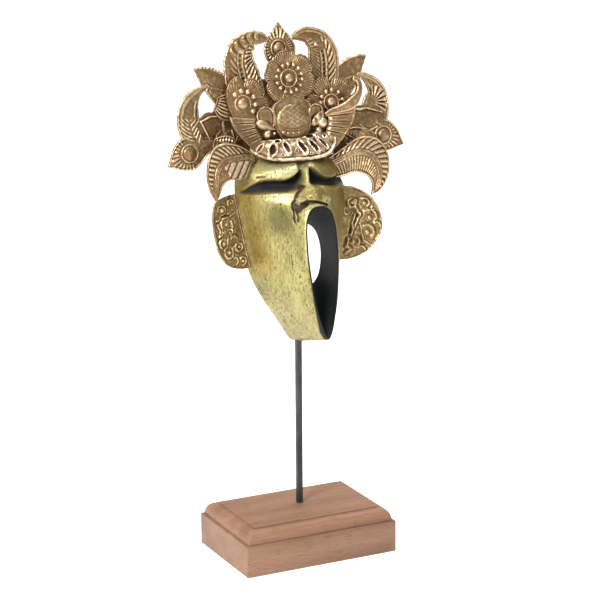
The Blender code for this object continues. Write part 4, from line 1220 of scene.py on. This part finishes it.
for name, shapes in crown_pieces.items():
    piece = joined(name, shapes, brass_skin)
    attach(piece, "root")
    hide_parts("crown")


# Front ornament
# Three flowers, a domed medallion between two wings and a flared band are beaten from the same
# brass and riveted one on another in front of the forehead. The band is the most polished and
# carries the brightest painted highlights and reflections.
FRONT_FIELD = [(0, 167, 22, 5), (0, 178, 35, 5), (0, 190, 40, 5), (0, 200, 34, 5), (0, 207, 22, 5)]
FEATHER_RIGHT = [(29, 181.6, 1.6, 9.5), (34, 184.0, 2.3, 10.6), (40, 185.4, 2.9, 12),
                 (46.6, 187.4, 3.9, 14), (52.4, 190.8, 4.4, 15.2), (57.2, 196.8, 2.9, 15.6),
                 (58.6, 203.0, 2.2, 15.6), (57.0, 207.4, 2.0, 15.6), (53.2, 209.2, 1.7, 15.6)]
FEATHER_LEFT = [(33.5, 177.5, 6.5, 9.0), (36.7, 181.8, 9.2, 7.8), (38.8, 187.5, 10.1, 6.4),
                (40.8, 193.7, 10.4, 5.4), (43.2, 202, 10.0, 4.9), (43.5, 209.2, 8.4, 4.7),
                (42.6, 215.0, 4.6, 4.6), (42.0, 217.8, 0.8, 4.5)]
WING_INNER = [(30.6, 184.4, 11.8), (31.8, 180.6, 12.2), (31.6, 176.8, 12.6), (29.8, 173.2, 13.2),
              (28.6, 169.8, 13.8), (27.8, 166.0, 14.4), (26.8, 160.6, 15.4), (26.6, 155.4, 16.6)]
WING_OUTER = [(53.6, 187.4, 17.4), (53.2, 181.4, 17.6), (50.9, 175.0, 17.8), (47.2, 169.8, 18.0),
              (43.2, 165.2, 18.2), (38.6, 160.4, 18.4), (33.8, 156.4, 18.6), (28.7, 152.6, 18.6)]
WING_OUTER_BACK = {-1: (6.4, 3.4, 1.4, 0.4, 0, 0, 0, 0), 1: (0, 0, 0, 0, 0, 0, 0, 0)}
WING_RIBS = 7
WING_THICK = 3.0
WING_ACROSS = 57
WING_DOWN = 177
ARCH = [(0, 162.5, 7, 6.4), (0, 167.5, 11.2, 6.4), (0, 173, 14.6, 6.4), (0, 178, 16.0, 6.4),
        (0, 184, 16.2, 6.4), (0, 189.6, 17.2, 6.4), (0, 193.4, 15.6, 6.4), (0, 197, 10.2, 6.4),
        (0, 200.2, 2.4, 6.4)]
MEDALLION_CENTRE = (-0.6, 179.4)
MEDALLION_RADIUS = 15.0
MEDALLION_STRETCH = 0.94
MEDALLION_BACK = 11.0
MEDALLION_FRONT = 13.4
MEDALLION_SIDES = 96
MEDALLION_RINGS = 30
LOBE_LEFT = [(19.2, 174.5, 2.6, 9.6), (20.4, 179, 5.6, 9.8), (22.6, 184, 7.9, 10), (24.6, 188.6, 7.0, 10),
             (26.0, 192.4, 2.2, 10)]
LOBE_RIGHT = [(18.4, 174.5, 2.6, 9.6), (19.2, 179, 5.0, 9.8), (20.6, 184, 6.8, 10), (21.8, 188.4, 5.8, 10),
              (22.6, 191.6, 2.0, 10)]
BEAN_LEFT = [(32.2, 180.6, 0.8, 12), (30.0, 180.0, 3.0, 12), (26.4, 178.4, 3.7, 12.4),
             (22.2, 176.4, 2.6, 12.6), (18.6, 175.0, 1.5, 12.6), (16.4, 174.4, 0.6, 12.6)]
BEAN_RIGHT = [(27.0, 184.4, 0.9, 12.4), (25.2, 182.8, 2.6, 12.8), (22.0, 180.0, 3.3, 13),
              (18.6, 177.0, 2.8, 13), (16.2, 174.8, 1.2, 12.6)]
# Rows of a bead's x, height, depth, radius, tone, polished highlight and sides; a high tone is a painted
# highlight.
LARGE_BEADS = ((25.4, 176.2, 12.4, 4.7, 0.15, 0.0, 24), (21.6, 170.6, 13.4, 2.6, 0.3, 0.0, 14),
               (-24.4, 170.9, 14.8, 3.0, 0.3, 0.1, 18), (27.1, 163.6, 15.6, 2.6, 0.5, 1.0, 16))
LEFT_BEADS = [(-22.8, 172.6, 1.5), (-18.0, 171.2, 1.3), (-11.4, 171.6, 1.2), (-7.2, 170.4, 1.2),
              (-2.6, 170.0, 1.3), (2.2, 170.2, 1.1)]
BAND = [(-40.5, 163.2, 3.4, 13.6), (-34, 160.4, 6.0, 14.6), (-22, 158.4, 8.4, 17), (0, 157.4, 8.8, 19.2),
        (14, 158.6, 9.6, 18.0), (22, 160.2, 9.4, 16.6), (29, 162.6, 6.6, 14.2), (33.5, 165.2, 3.0, 12.2)]
BAND_TILT = 0.55
BAND_HOLLOWS = [(-33.0, 160.6, 1.6, 2.6, 0.9), (-22.6, 159.0, 2.7, 4.4, 0.3),
                (-10.6, 159.6, 1.9, 4.2, -0.35), (2.6, 159.2, 2.1, 4.6, -0.55),
                (13.0, 159.0, 2.0, 4.6, -0.7), (21.8, 160.6, 1.5, 3.4, -0.8),
                (11.6, 166.8, 3.4, 1.4, -0.1), (25.4, 165.6, 1.5, 1.1, 0.0), (-17.0, 165.0, 2.2, 1.1, 0.2)]
SCROLL_TURNS = 1.4
SCROLL_WIRE = 0.5
BAND_SCROLLS = [(-3.6, 156.6, 2.3, 1), (-15.8, 154.6, 2.4, -1), (-36.4, 160.4, 1.9, 1),
                (19.6, 154.6, 2.0, 1), (-28.4, 156.6, 1.9, -1), (8.2, 153.6, 1.8, -1)]
DROP_WIRE = [(13.2, 17.6, 168.6), (15.4, 19.4, 166.6), (16.8, 20.0, 163.6), (17.2, 19.6, 160.4)]
DROP_WIRE_RADII = [0.5, 1.2, 1.3, 0.6]
WIRE_SIDES = 8
# How much brighter the wires' fronts are painted, as highlight.
WIRE_TONE = 0.6
FLOWER_RADIUS = 22.0
CENTRE_FLOWER = (0.4, 213.4, 8.2)
CENTRE_PETALS = tuple((turn, 1.0) for turn in (98, 38, 338, 278, 218, 158))
CENTRE_BEADS = tuple(range(14, 374, 26))[:14]
CENTRE_SIZES = (4.0, 6.9, 11.1, 1.6, -0.9)
SIDE_FLOWERS = {-1: (-40.2, 196.2, 4.8), 1: (36.8, 191.4, 5.2)}
SIDE_SIZES = {-1: (4.9, 6.6, 10.2, 2.1), 1: (4.3, 6.3, 9.9, 1.7)}
SIDE_PETALS = {-1: ((44, 1.05), (-10, 0.8)), 1: ((118, 0.8), (48, 1.1), (-12, 0.9), (180, 0.8))}
SIDE_BEADS = {-1: (132, 97, 64, 28, -8, -40), 1: (178, 150, 118, 86, 48, 9)}
PETAL_WIDTHS = [(0.12, 0.13), (0.4, 0.3), (0.68, 0.425), (0.88, 0.37), (1.0, 0.17)]
PETAL_LINES = 13


def petal_relief(at):
    """A thin rim and fine lines that spread from the flower's middle and fade towards it. The inner part is
    painted darker, as tarnish and shade round the beads.
    """
    reach = smoothstep(0.42, 0.62, at.share) * smoothstep(0.9, 1.8, (1 - at.share) * at.length)
    reach = reach * smoothstep(0.9, 1.6, at.edge)
    at.tint = -0.35 * (1 - smoothstep(0.3, 0.6, at.share))
    return rim(at, 0.4, 0.5, 0.5) + 0.55 * reach * stripes(PETAL_LINES * at.w / (at.s + 8) + 0.25)


def petal(x, height, depth, turn, wide):
    """A rounded petal pointing away from the flower's centre, cupped a little."""
    rows = [(x + FLOWER_RADIUS * out * cos(turn), height + FLOWER_RADIUS * out * sin(turn),
             FLOWER_RADIUS * half_width * wide, depth + 0.8 * out) for out, half_width in PETAL_WIDTHS]
    return leaf(rows, 42, 57, petal_relief, crest=0.7, under=2.4, uneven=0.05)


def flower(x, height, depth, petals, bead_turns, ball, ring, orbit, bead_radius, aside=0.0):
    """Petals round a ringed ball, with a circle of beads on them and a smaller bead inside each."""
    shapes = [petal(x, height, depth + 0.5 * (k % 2), radians(turn), wide)
              for k, (turn, wide) in enumerate(petals)]
    x = x + aside
    shapes.append(ringed_boss(x, height, depth + 3.7, ball, ring, 3.6, 0.6, tone=0.2))
    for turn in bead_turns:
        across, up = cos(radians(turn)), sin(radians(turn))
        shapes.append(bead(x + orbit * across, height + orbit * up, depth + 4.6, bead_radius))
        inner = orbit - 2
        shapes.append(bead(x + inner * across, height + inner * up, depth + 4.0, 0.9, tone=0.1, sides=8))
    return shapes


def feather_right(at):
    """A rolled edge painted bright as a highlight, and faint strokes along a narrow feather."""
    at.tint = 0.18 + 0.25 * smoothstep(1.8, 0.8, at.edge)
    return 0.4 * hump(at.edge - 0.6, 0.6) + 0.06 * stripes((at.s + 0.5 * at.w) / 2.2)


def feather_left(at):
    """A broad plain feather with a few lines that spread over one half of its end."""
    reach = smoothstep(29, 34, at.s) * smoothstep(0.6, 1.4, at.edge) * (at.w > -1)
    lines = 0.25 * stripes(PETAL_LINES * at.w / (at.s - 8)) * reach
    return 0.3 * rim(at, 0.8, 0.6, 0.6) + lines + dents(at, 0.05)


def wing(side):
    """A fan between its inner and outer edge, beaten into rounded ribs with grooves between them.

    One parameter runs from the inner edge to the outer and the other down the wing. The grooves
    are deepest near the inner edge, where each rib ends in a rounded bright tip.
    """
    outer_rows = np.array(WING_OUTER) - np.outer(WING_OUTER_BACK[side], (0, 0, 1))
    across = np.linspace(0, 1, WING_ACROSS)[:, None]
    down = np.linspace(0, 1, WING_DOWN)[None, :]
    inner, outer = (np.stack([np.interp(down[0], np.linspace(0, 1, len(edge)), column)
                              for column in edge.T], axis=1)
                    for edge in (np.array(WING_INNER), outer_rows))
    x, height, depth = (inner[:, k] + (outer[:, k] - inner[:, k]) * across for k in range(3))
    length = np.hypot(outer[:, 0] - inner[:, 0], outer[:, 1] - inner[:, 1])[None, :]
    place = down * WING_RIBS % 1.0
    from_groove = np.minimum(place, 1 - place)
    groove = np.exp(-(from_groove / 0.11) ** 2) * (1 - smoothstep(0.5, 0.92, across))
    tip = smoothstep(0.0, 2.6, across * length - 5.0 * np.maximum(0, 0.24 - from_groove))
    rounded = np.sqrt(np.clip(1 - (1 - 2 * from_groove) ** 4, 0, 1))
    ribbed = 1.1 * rounded * (1 - 0.6 * across) - 0.5 * groove
    raised = tip * ribbed + 0.35 * hump((1 - across) * length - 0.7, 0.7)
    raised = raised * smoothstep(0.0, 0.04, down) * smoothstep(0.0, 0.03, 1 - down)
    # Painted highlight on the ribs' tips by the inner edge and painted shade in the grooves.
    at = SimpleNamespace(tint=0.1 + 0.2 * hump(across * length - 1.8, 1.4) - 0.2 * groove * tip, polish=0.0)
    return sheet(x, depth + raised, depth - WING_THICK, height, raised, at, side, (0.4, 0.24))


def lobe_relief(at):
    """A dished leaf with a rim, with painted shade in the hollow by its root."""
    hollow = hump(np.hypot((at.s - 3.5) / 1.3, at.w - 0.5), 3.4)
    at.tint = -0.95 * hollow + 0.1
    return rim(at, 0.8, 0.7) - 1.4 * hollow


def bean_relief(at):
    """Smooth, painted bright as a highlight, and a little polished."""
    at.tint = 0.35
    at.polish = 0.12
    return 0 * at.x


def strip_relief(at):
    """A polished strip, painted bright as a highlight, with slanted waves and a line of painted shade along
    one side.
    """
    at.tint = 0.3 - 0.5 * hump(at.w - 0.6 * at.half, 0.8)
    at.polish = 0.35
    return 0.4 * np.sin(1.1 * at.s + 0.9 * at.w)


def arch_relief(at):
    """A plate with a corded edge over the dome, with a line of painted shade between the edge and the dome,
    and a plain bowl below it.
    """
    above = smoothstep(186, 190, at.h)
    cords = 0.75 + 0.35 * np.sin(2 * pi * at.s / 1.7 + 1.2 * at.w)
    at.tint = 0.12 - 0.45 * hump(at.edge - 3.4, 1.0) * above
    return 0.7 * hump(at.edge - 0.9, 0.7) * (1 - above + above * cords) + dents(at, 0.05)


def band_relief(at):
    """A rolled lower edge and slanted leaf-shaped hollows, each inside a swelling. The hollows are painted
    dark as shade, and the swellings and waves bright as highlights and reflections.
    """
    lower = 1.1 * hump((1 - at.v) * at.half - 1.2, 1.0) - 0.5 * hump((1 - at.v) * at.half - 3.2, 0.6)
    total = lower + 0.45 * hump((1 + at.v) * at.half - 0.8, 0.7)
    deepest = np.zeros_like(at.x)
    swell = np.zeros_like(at.x)
    for x, height, wide, tall, lean in BAND_HOLLOWS:
        up = at.h - height
        across = at.x - x - lean * up - 0.06 * up * np.abs(up)
        away = np.hypot(across / wide, up / tall)
        deepest = np.maximum(deepest, 1 - smoothstep(0.55, 1.0, away))
        swell = np.maximum(swell, hump(away - 1.35, 0.3) * smoothstep(-0.6, 0.6, away))
    wave = 0.3 * np.sin(0.55 * at.x + 0.8 * np.sin(0.6 * at.h)) * np.sin(0.7 * at.h + 0.3 * at.x)
    at.tint = 0.22 - 1.2 * deepest + 0.4 * swell + 0.55 * wave
    at.polish = np.clip(0.35 + 0.5 * swell + 1.3 * wave - deepest, 0, 1)
    return total - 2.6 * deepest + 1.0 * swell * (1 - deepest) + 0.8 * wave


def medallion():
    """An oval dome over two parameters, radius and turn, with a soft net of lozenges on it.

    The net's lines are where across plus or minus up is a whole number of meshes. Three bowed
    grooves, up = 0.022 across squared less a step, close it below.
    """
    rho = np.concatenate([np.linspace(0.02, 0.97, MEDALLION_RINGS), [1.0, 1.0, 0.98]])[::-1][:, None]
    turn = np.linspace(0, 2 * pi, MEDALLION_SIDES, endpoint=False)[None, :]
    across = MEDALLION_RADIUS * rho * np.cos(turn)
    up = MEDALLION_RADIUS * MEDALLION_STRETCH * rho * np.sin(turn)
    swell = 4.2 * np.sqrt(np.clip(1 - (rho * 0.985) ** 2.6, 0, 1)) + 0 * turn
    wavy = up + 0.35 * np.sin(1.2 * across)
    one, other = across / 5.4 + wavy / 3.3, across / 5.4 - wavy / 3.3
    lines = np.maximum(hump((one % 1.0) - 0.5, 0.16), hump((other % 1.0) - 0.5, 0.16))
    bowed = up - 0.022 * across ** 2
    smile = hump(bowed + 5.6, 0.45) + hump(bowed + 7.6, 0.4) + 0.6 * hump(bowed + 10.4, 0.4)
    lines = lines * smoothstep(-4.8, -3.8, bowed)
    depth = MEDALLION_FRONT + swell + 0.2 * lines * smoothstep(0.97, 0.86, rho) - 0.24 * smile
    depth[:3] = np.array([MEDALLION_BACK, 12.2, 13.1])[:, None]
    middle_x, middle_height = MEDALLION_CENTRE
    grid = np.stack([middle_x + across, depth, middle_height + up], axis=-1)
    poles = [(middle_x, MEDALLION_BACK, middle_height), (middle_x, depth[-1].mean(), middle_height)]
    points = np.vstack([grid.reshape(-1, 3), poles])
    # Painted highlight on the net's lines and painted shade in the bowed grooves.
    tones = np.concatenate([(0.06 + 0.4 * lines - 0.5 * smile).ravel(), [-0.4, 0.2]])
    return points, capped_faces(len(rho), MEDALLION_SIDES), tones, np.zeros(len(points))


def wire(path, radius, polish):
    """A round wire along points of (x, depth, height); its radius changes along it."""
    path, radius = np.asarray(path, float), np.asarray(radius, float)
    run = np.gradient(path, axis=0)
    run /= np.linalg.norm(run, axis=1)[:, None]
    lift = np.array([0.0, 1.0, 0.0]) - run * run[:, 1:2]
    lift /= np.linalg.norm(lift, axis=1)[:, None]
    aside = np.cross(run, lift)
    turn = np.linspace(0, 2 * pi, WIRE_SIDES, endpoint=False)
    ring = np.cos(turn)[None, :, None] * aside[:, None, :] + np.sin(turn)[None, :, None] * lift[:, None, :]
    grid = path[:, None, :] + ring * radius[:, None, None]
    # Painted light: each wire's front is painted brighter and its back darker, as shade.
    shade = WIRE_TONE * np.clip(np.sin(turn), 0, 1) - 0.3 * np.clip(-np.sin(turn), 0, 1)
    tones = np.broadcast_to(shade, grid.shape[:2]).ravel()
    return grid.reshape(-1, 3), tube_faces(*grid.shape[:2]), tones, np.full(len(tones), polish)


def scroll(x, height, depth, radius, hand):
    """A polished wire wound inwards in a spiral, to one hand or the other, thinning as it goes."""
    share = np.linspace(0, 1, 40)
    angle = 0.6 + hand * 2 * pi * SCROLL_TURNS * share
    away = radius * (1 - 0.82 * share)
    path = np.column_stack([x + away * np.cos(angle), depth + 0.5 * share, height + away * np.sin(angle)])
    return wire(path, SCROLL_WIRE * (1 - 0.45 * share), 0.9)


front_shapes = [leaf(ARCH, 90, 61, arch_relief, crest=0.8, under=6.4, flat_back=True),
                leaf(FRONT_FIELD, 30, 31, plain_sheet, crest=0.1, under=1.9),
                medallion(),
                leaf(BAND, 190, 57, band_relief, tilt=BAND_TILT, crest=0.9, under=3.0),
                leaf(LOBE_LEFT, 50, 41, lobe_relief, -1, crest=0.4, under=2.4),
                leaf(LOBE_RIGHT, 50, 41, lobe_relief, 1, crest=0.4, under=2.4),
                leaf(BEAN_LEFT, 40, 21, bean_relief, -1, crest=2.6, under=1.6),
                leaf(BEAN_RIGHT, 40, 21, strip_relief, 1, crest=1.8, under=1.6)]
front_shapes += [bead(*row) for row in LARGE_BEADS]
front_shapes += [bead(x, height, 15.2 + 1.9 * (x > -12), radius, sides=10)
                 for x, height, radius in LEFT_BEADS]
front_shapes.append(wire(DROP_WIRE, DROP_WIRE_RADII, 1.0))
flower_shapes = flower(*CENTRE_FLOWER, CENTRE_PETALS, CENTRE_BEADS, *CENTRE_SIZES)
for side in (-1, 1):
    flower_shapes += flower(*SIDE_FLOWERS[side], SIDE_PETALS[side], SIDE_BEADS[side], *SIDE_SIZES[side])
    front_shapes.append(wing(side))
flower_shapes += [leaf(FEATHER_LEFT, 90, 61, feather_left, -1, crest=1.2, under=2.8, flat_back=True),
                  leaf(FEATHER_RIGHT, 100, 25, feather_right, 1, crest=1.6, under=2.8, flat_back=True)]
for x, height, radius, hand in BAND_SCROLLS:
    depth = float(np.interp(x, [row[0] for row in BAND], [row[3] for row in BAND])) + 4.4
    front_shapes.append(scroll(x, height, depth - BAND_TILT * (height - 158), radius, hand))
for name, shapes in (("front_plates", front_shapes), ("front_flowers", flower_shapes)):
    piece = joined(name, shapes, brass_skin)
    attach(piece, "root")
    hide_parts("front_ornament")


# Ears
# A curved brass plate at each side of the wood is turned forward at its outer edge. Curls with
# balls in them are embossed on it. The right plate has a fine row of beads along its rim.
EAR_INNER = {-1: [(50.7, 126.4), (48.6, 113), (46.3, 99.6), (43.6, 84), (40.6, 67.2)],
             1: [(40.0, 123.2), (40.4, 114.1), (39.0, 94.1), (36.2, 79.3), (33.6, 64.8)]}
EAR_OUTER = {-1: [(50.7, 126.4), (58.6, 126.0), (66.4, 124.0), (71.8, 120.8), (74.6, 114), (75.4, 104.5),
                  (74.2, 92.6), (70.9, 80.0), (63.7, 70.9), (52.4, 67.2), (40.6, 67.2)],
             1: [(40.0, 123.2), (46, 123.5), (53.8, 121.4), (62.6, 116.1), (69.6, 108.0), (73.3, 97.3),
                 (73.1, 86.6), (69, 78.4), (62.0, 70.9), (53.0, 66.4), (43.7, 64.4), (33.6, 64.8)]}
EAR_ARCS = {-1: [(57.0, 120.0, 2.6, -60, 250, 0.9), (65.9, 115.0, 3.5, -20, 330, 0.7),
                 (62.8, 104.2, 4.5, -50, 190, 1.1), (59.4, 97.2, 2.0, 60, 220, 0.9),
                 (56.0, 90.4, 3.1, 15, 150, 1.2), (66.4, 88.8, 3.6, -70, 160, 0.9),
                 (61.8, 80.8, 3.8, -150, 170, 0.9), (52.0, 84.8, 3.3, 100, 330, 0.9),
                 (49.2, 73.4, 3.0, 0, 300, 0.9), (69.8, 98.0, 3.2, 150, 150, 0.8),
                 (56.6, 74.0, 2.8, 60, 200, 0.8), (70.6, 110.0, 2.8, 160, 150, 0.8)],
            1: [(50.6, 109.6, 3.4, 50, 280, 1.0), (60.0, 108.4, 3.8, -60, 190, 1.0),
                (62.8, 96.6, 6.0, -60, 215, 1.3), (60.2, 84.8, 5.8, -60, 200, 1.3),
                (49.2, 78.0, 4.7, -75, 140, 1.2), (45.8, 103.4, 2.6, 70, 290, 0.8),
                (69.0, 89.4, 2.6, -40, 190, 0.8), (55.0, 70.6, 3.2, -10, 160, 0.9),
                (68.6, 103.0, 2.6, 120, 160, 0.8)]}
EAR_BALLS = {-1: [(57.0, 119.8, 1.1), (65.9, 115.0, 2.1), (62.4, 103.6, 1.2), (59.6, 96.8, 1.0),
                  (65.6, 97.4, 0.9), (66.2, 88.8, 1.6), (61.6, 81.4, 1.6), (52.0, 84.8, 1.2),
                  (49.2, 73.2, 1.2), (70.4, 104.0, 0.8), (60.0, 112.0, 0.9)],
             1: [(50.6, 109.6, 1.5), (60.0, 108.4, 1.6), (63.2, 96.2, 2.0), (60.6, 84.8, 2.0),
                 (49.0, 78.4, 1.8), (67.6, 102.6, 1.0), (55.6, 114.6, 0.9), (69.4, 92.6, 0.9),
                 (66.0, 76.6, 0.9)]}
EAR_STEMS = {-1: [([(57.6, 105.4), (56.6, 101.6), (57.2, 98.4)], 1.0, 1.1),
                  ([(70.0, 94.0), (68.4, 99.0), (70.8, 104.0)], 0.7, 0.7),
                  ([(54.8, 87.0), (58.4, 84.0), (58.0, 78.0)], 0.8, 0.8),
                  ([(54, 112), (58.6, 109.6), (66, 108.6)], 0.7, 0.7),
                  ([(61.6, 92.6), (63.0, 86.0), (66.0, 83.6)], 0.7, 0.6)],
             1: [([(53.6, 111.0), (52.4, 106.4), (54.6, 102.4), (55.6, 99.0)], 1.3, 1.3),
                 ([(56.2, 100.6), (53.0, 94.0), (49.4, 87.6), (48.0, 84.4)], 1.0, 1.3),
                 ([(52.4, 99.6), (49.6, 93.0), (48.4, 86.0)], 0.8, 1.0),
                 ([(45.4, 80.4), (43.6, 75.4), (46.4, 72.4), (43.0, 70.2)], 1.2, 1.2),
                 ([(55.8, 92.0), (57.4, 79.0), (63.6, 73.6)], 0.6, 0.5)]}
EAR_ROWS = 221
EAR_ACROSS = 111
RIM_BEADS = slice(10, 130, 3)
EAR_MIDDLE = (0.242, 0.168, 0.068)
EAR_BRIGHT = (0.69, 0.56, 0.33)


def ear_depth(x):
    """Depth of the plate's front, further forward at its outer edge."""
    return 5.2 + 0.24 * (x - 46)


def arc(at, x, height, radius, start, sweep, width):
    """A raised stroke round part of a circle, from a start angle through a sweep, thin at its ends."""
    share = ((np.degrees(np.arctan2(at.h - height, at.x - x)) - start) % 360) / sweep
    taper = np.sqrt(np.clip(4 * share * (1 - share), 0, 1))
    from_line = np.hypot(at.x - x, at.h - height) - radius
    beside = 0.3 * hump(from_line - 2 * width, 0.7 * width)
    return taper * (hump(from_line, 0.35 + 0.65 * width * taper) - beside)


def ear(side):
    """The plate as a surface between its inner and outer edge, then the balls and rims on it."""
    inner, outer = (curve_through(edge[side], EAR_ROWS + 2)[1:-1] for edge in (EAR_INNER, EAR_OUTER))
    across = np.linspace(0, 1, EAR_ACROSS)[:, None]
    x = inner[:, 0] + (outer[:, 0] - inner[:, 0]) * across
    height = inner[:, 1] + (outer[:, 1] - inner[:, 1]) * across
    at = SimpleNamespace(x=x, h=height, tint=0.08, polish=0.0)
    raised = dents(at, 0.07, 0.62) + (dents(at, 0.07, 0.37) if side < 0 else 0)
    for curl in EAR_ARCS[side]:
        raised = raised + 1.1 * arc(at, *curl)
    for path, width, tall in EAR_STEMS[side]:
        raised = raised + ridge(at, path, width, tall)
    for ball_x, ball_h, radius in EAR_BALLS[side]:
        raised = raised - 0.35 * hump(np.hypot(x - ball_x, height - ball_h) - 1.5 * radius, 0.4 * radius)
    wide = np.linalg.norm(outer - inner, axis=1)
    # Painted shadow along the left plate's inner edge, where it meets the face.
    at.tint = at.tint - 0.8 * hump(wide * across, 0.9) * (side < 0)
    raised = raised + 0.5 * hump(wide * (1 - across) - 0.7, 0.7)
    for inset, tall in ((0.6, 0.6), (2.6, 0.4)):
        raised = raised + tall * hump(wide * across - inset, 0.4) * (side < 0)
    raised = np.maximum(raised, -0.5)
    shapes = [sheet(x, ear_depth(x) + raised, ear_depth(x) - GAUGE, height, raised, at, side, (0.27, 0.36))]
    if side > 0:
        shapes += [bead(edge_x - 0.5, edge_h, ear_depth(edge_x) + 0.6, 0.6, sides=6)
                   for edge_x, edge_h in outer[RIM_BEADS]]
    for ball_x, ball_h, radius in EAR_BALLS[side]:
        shapes.append(bead(side * ball_x, ball_h, ear_depth(ball_x) + 0.3, radius, tone=0.3))
    return shapes


ear_skin = brass_material("ear_brass", EAR_MIDDLE, EAR_BRIGHT)
for name, node, side in (("ear_plate_left", "ear_left", -1), ("ear_plate_right", "ear_right", 1)):
    piece = joined(name, ear(side), ear_skin)
    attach(piece, "root")
    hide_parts(node)
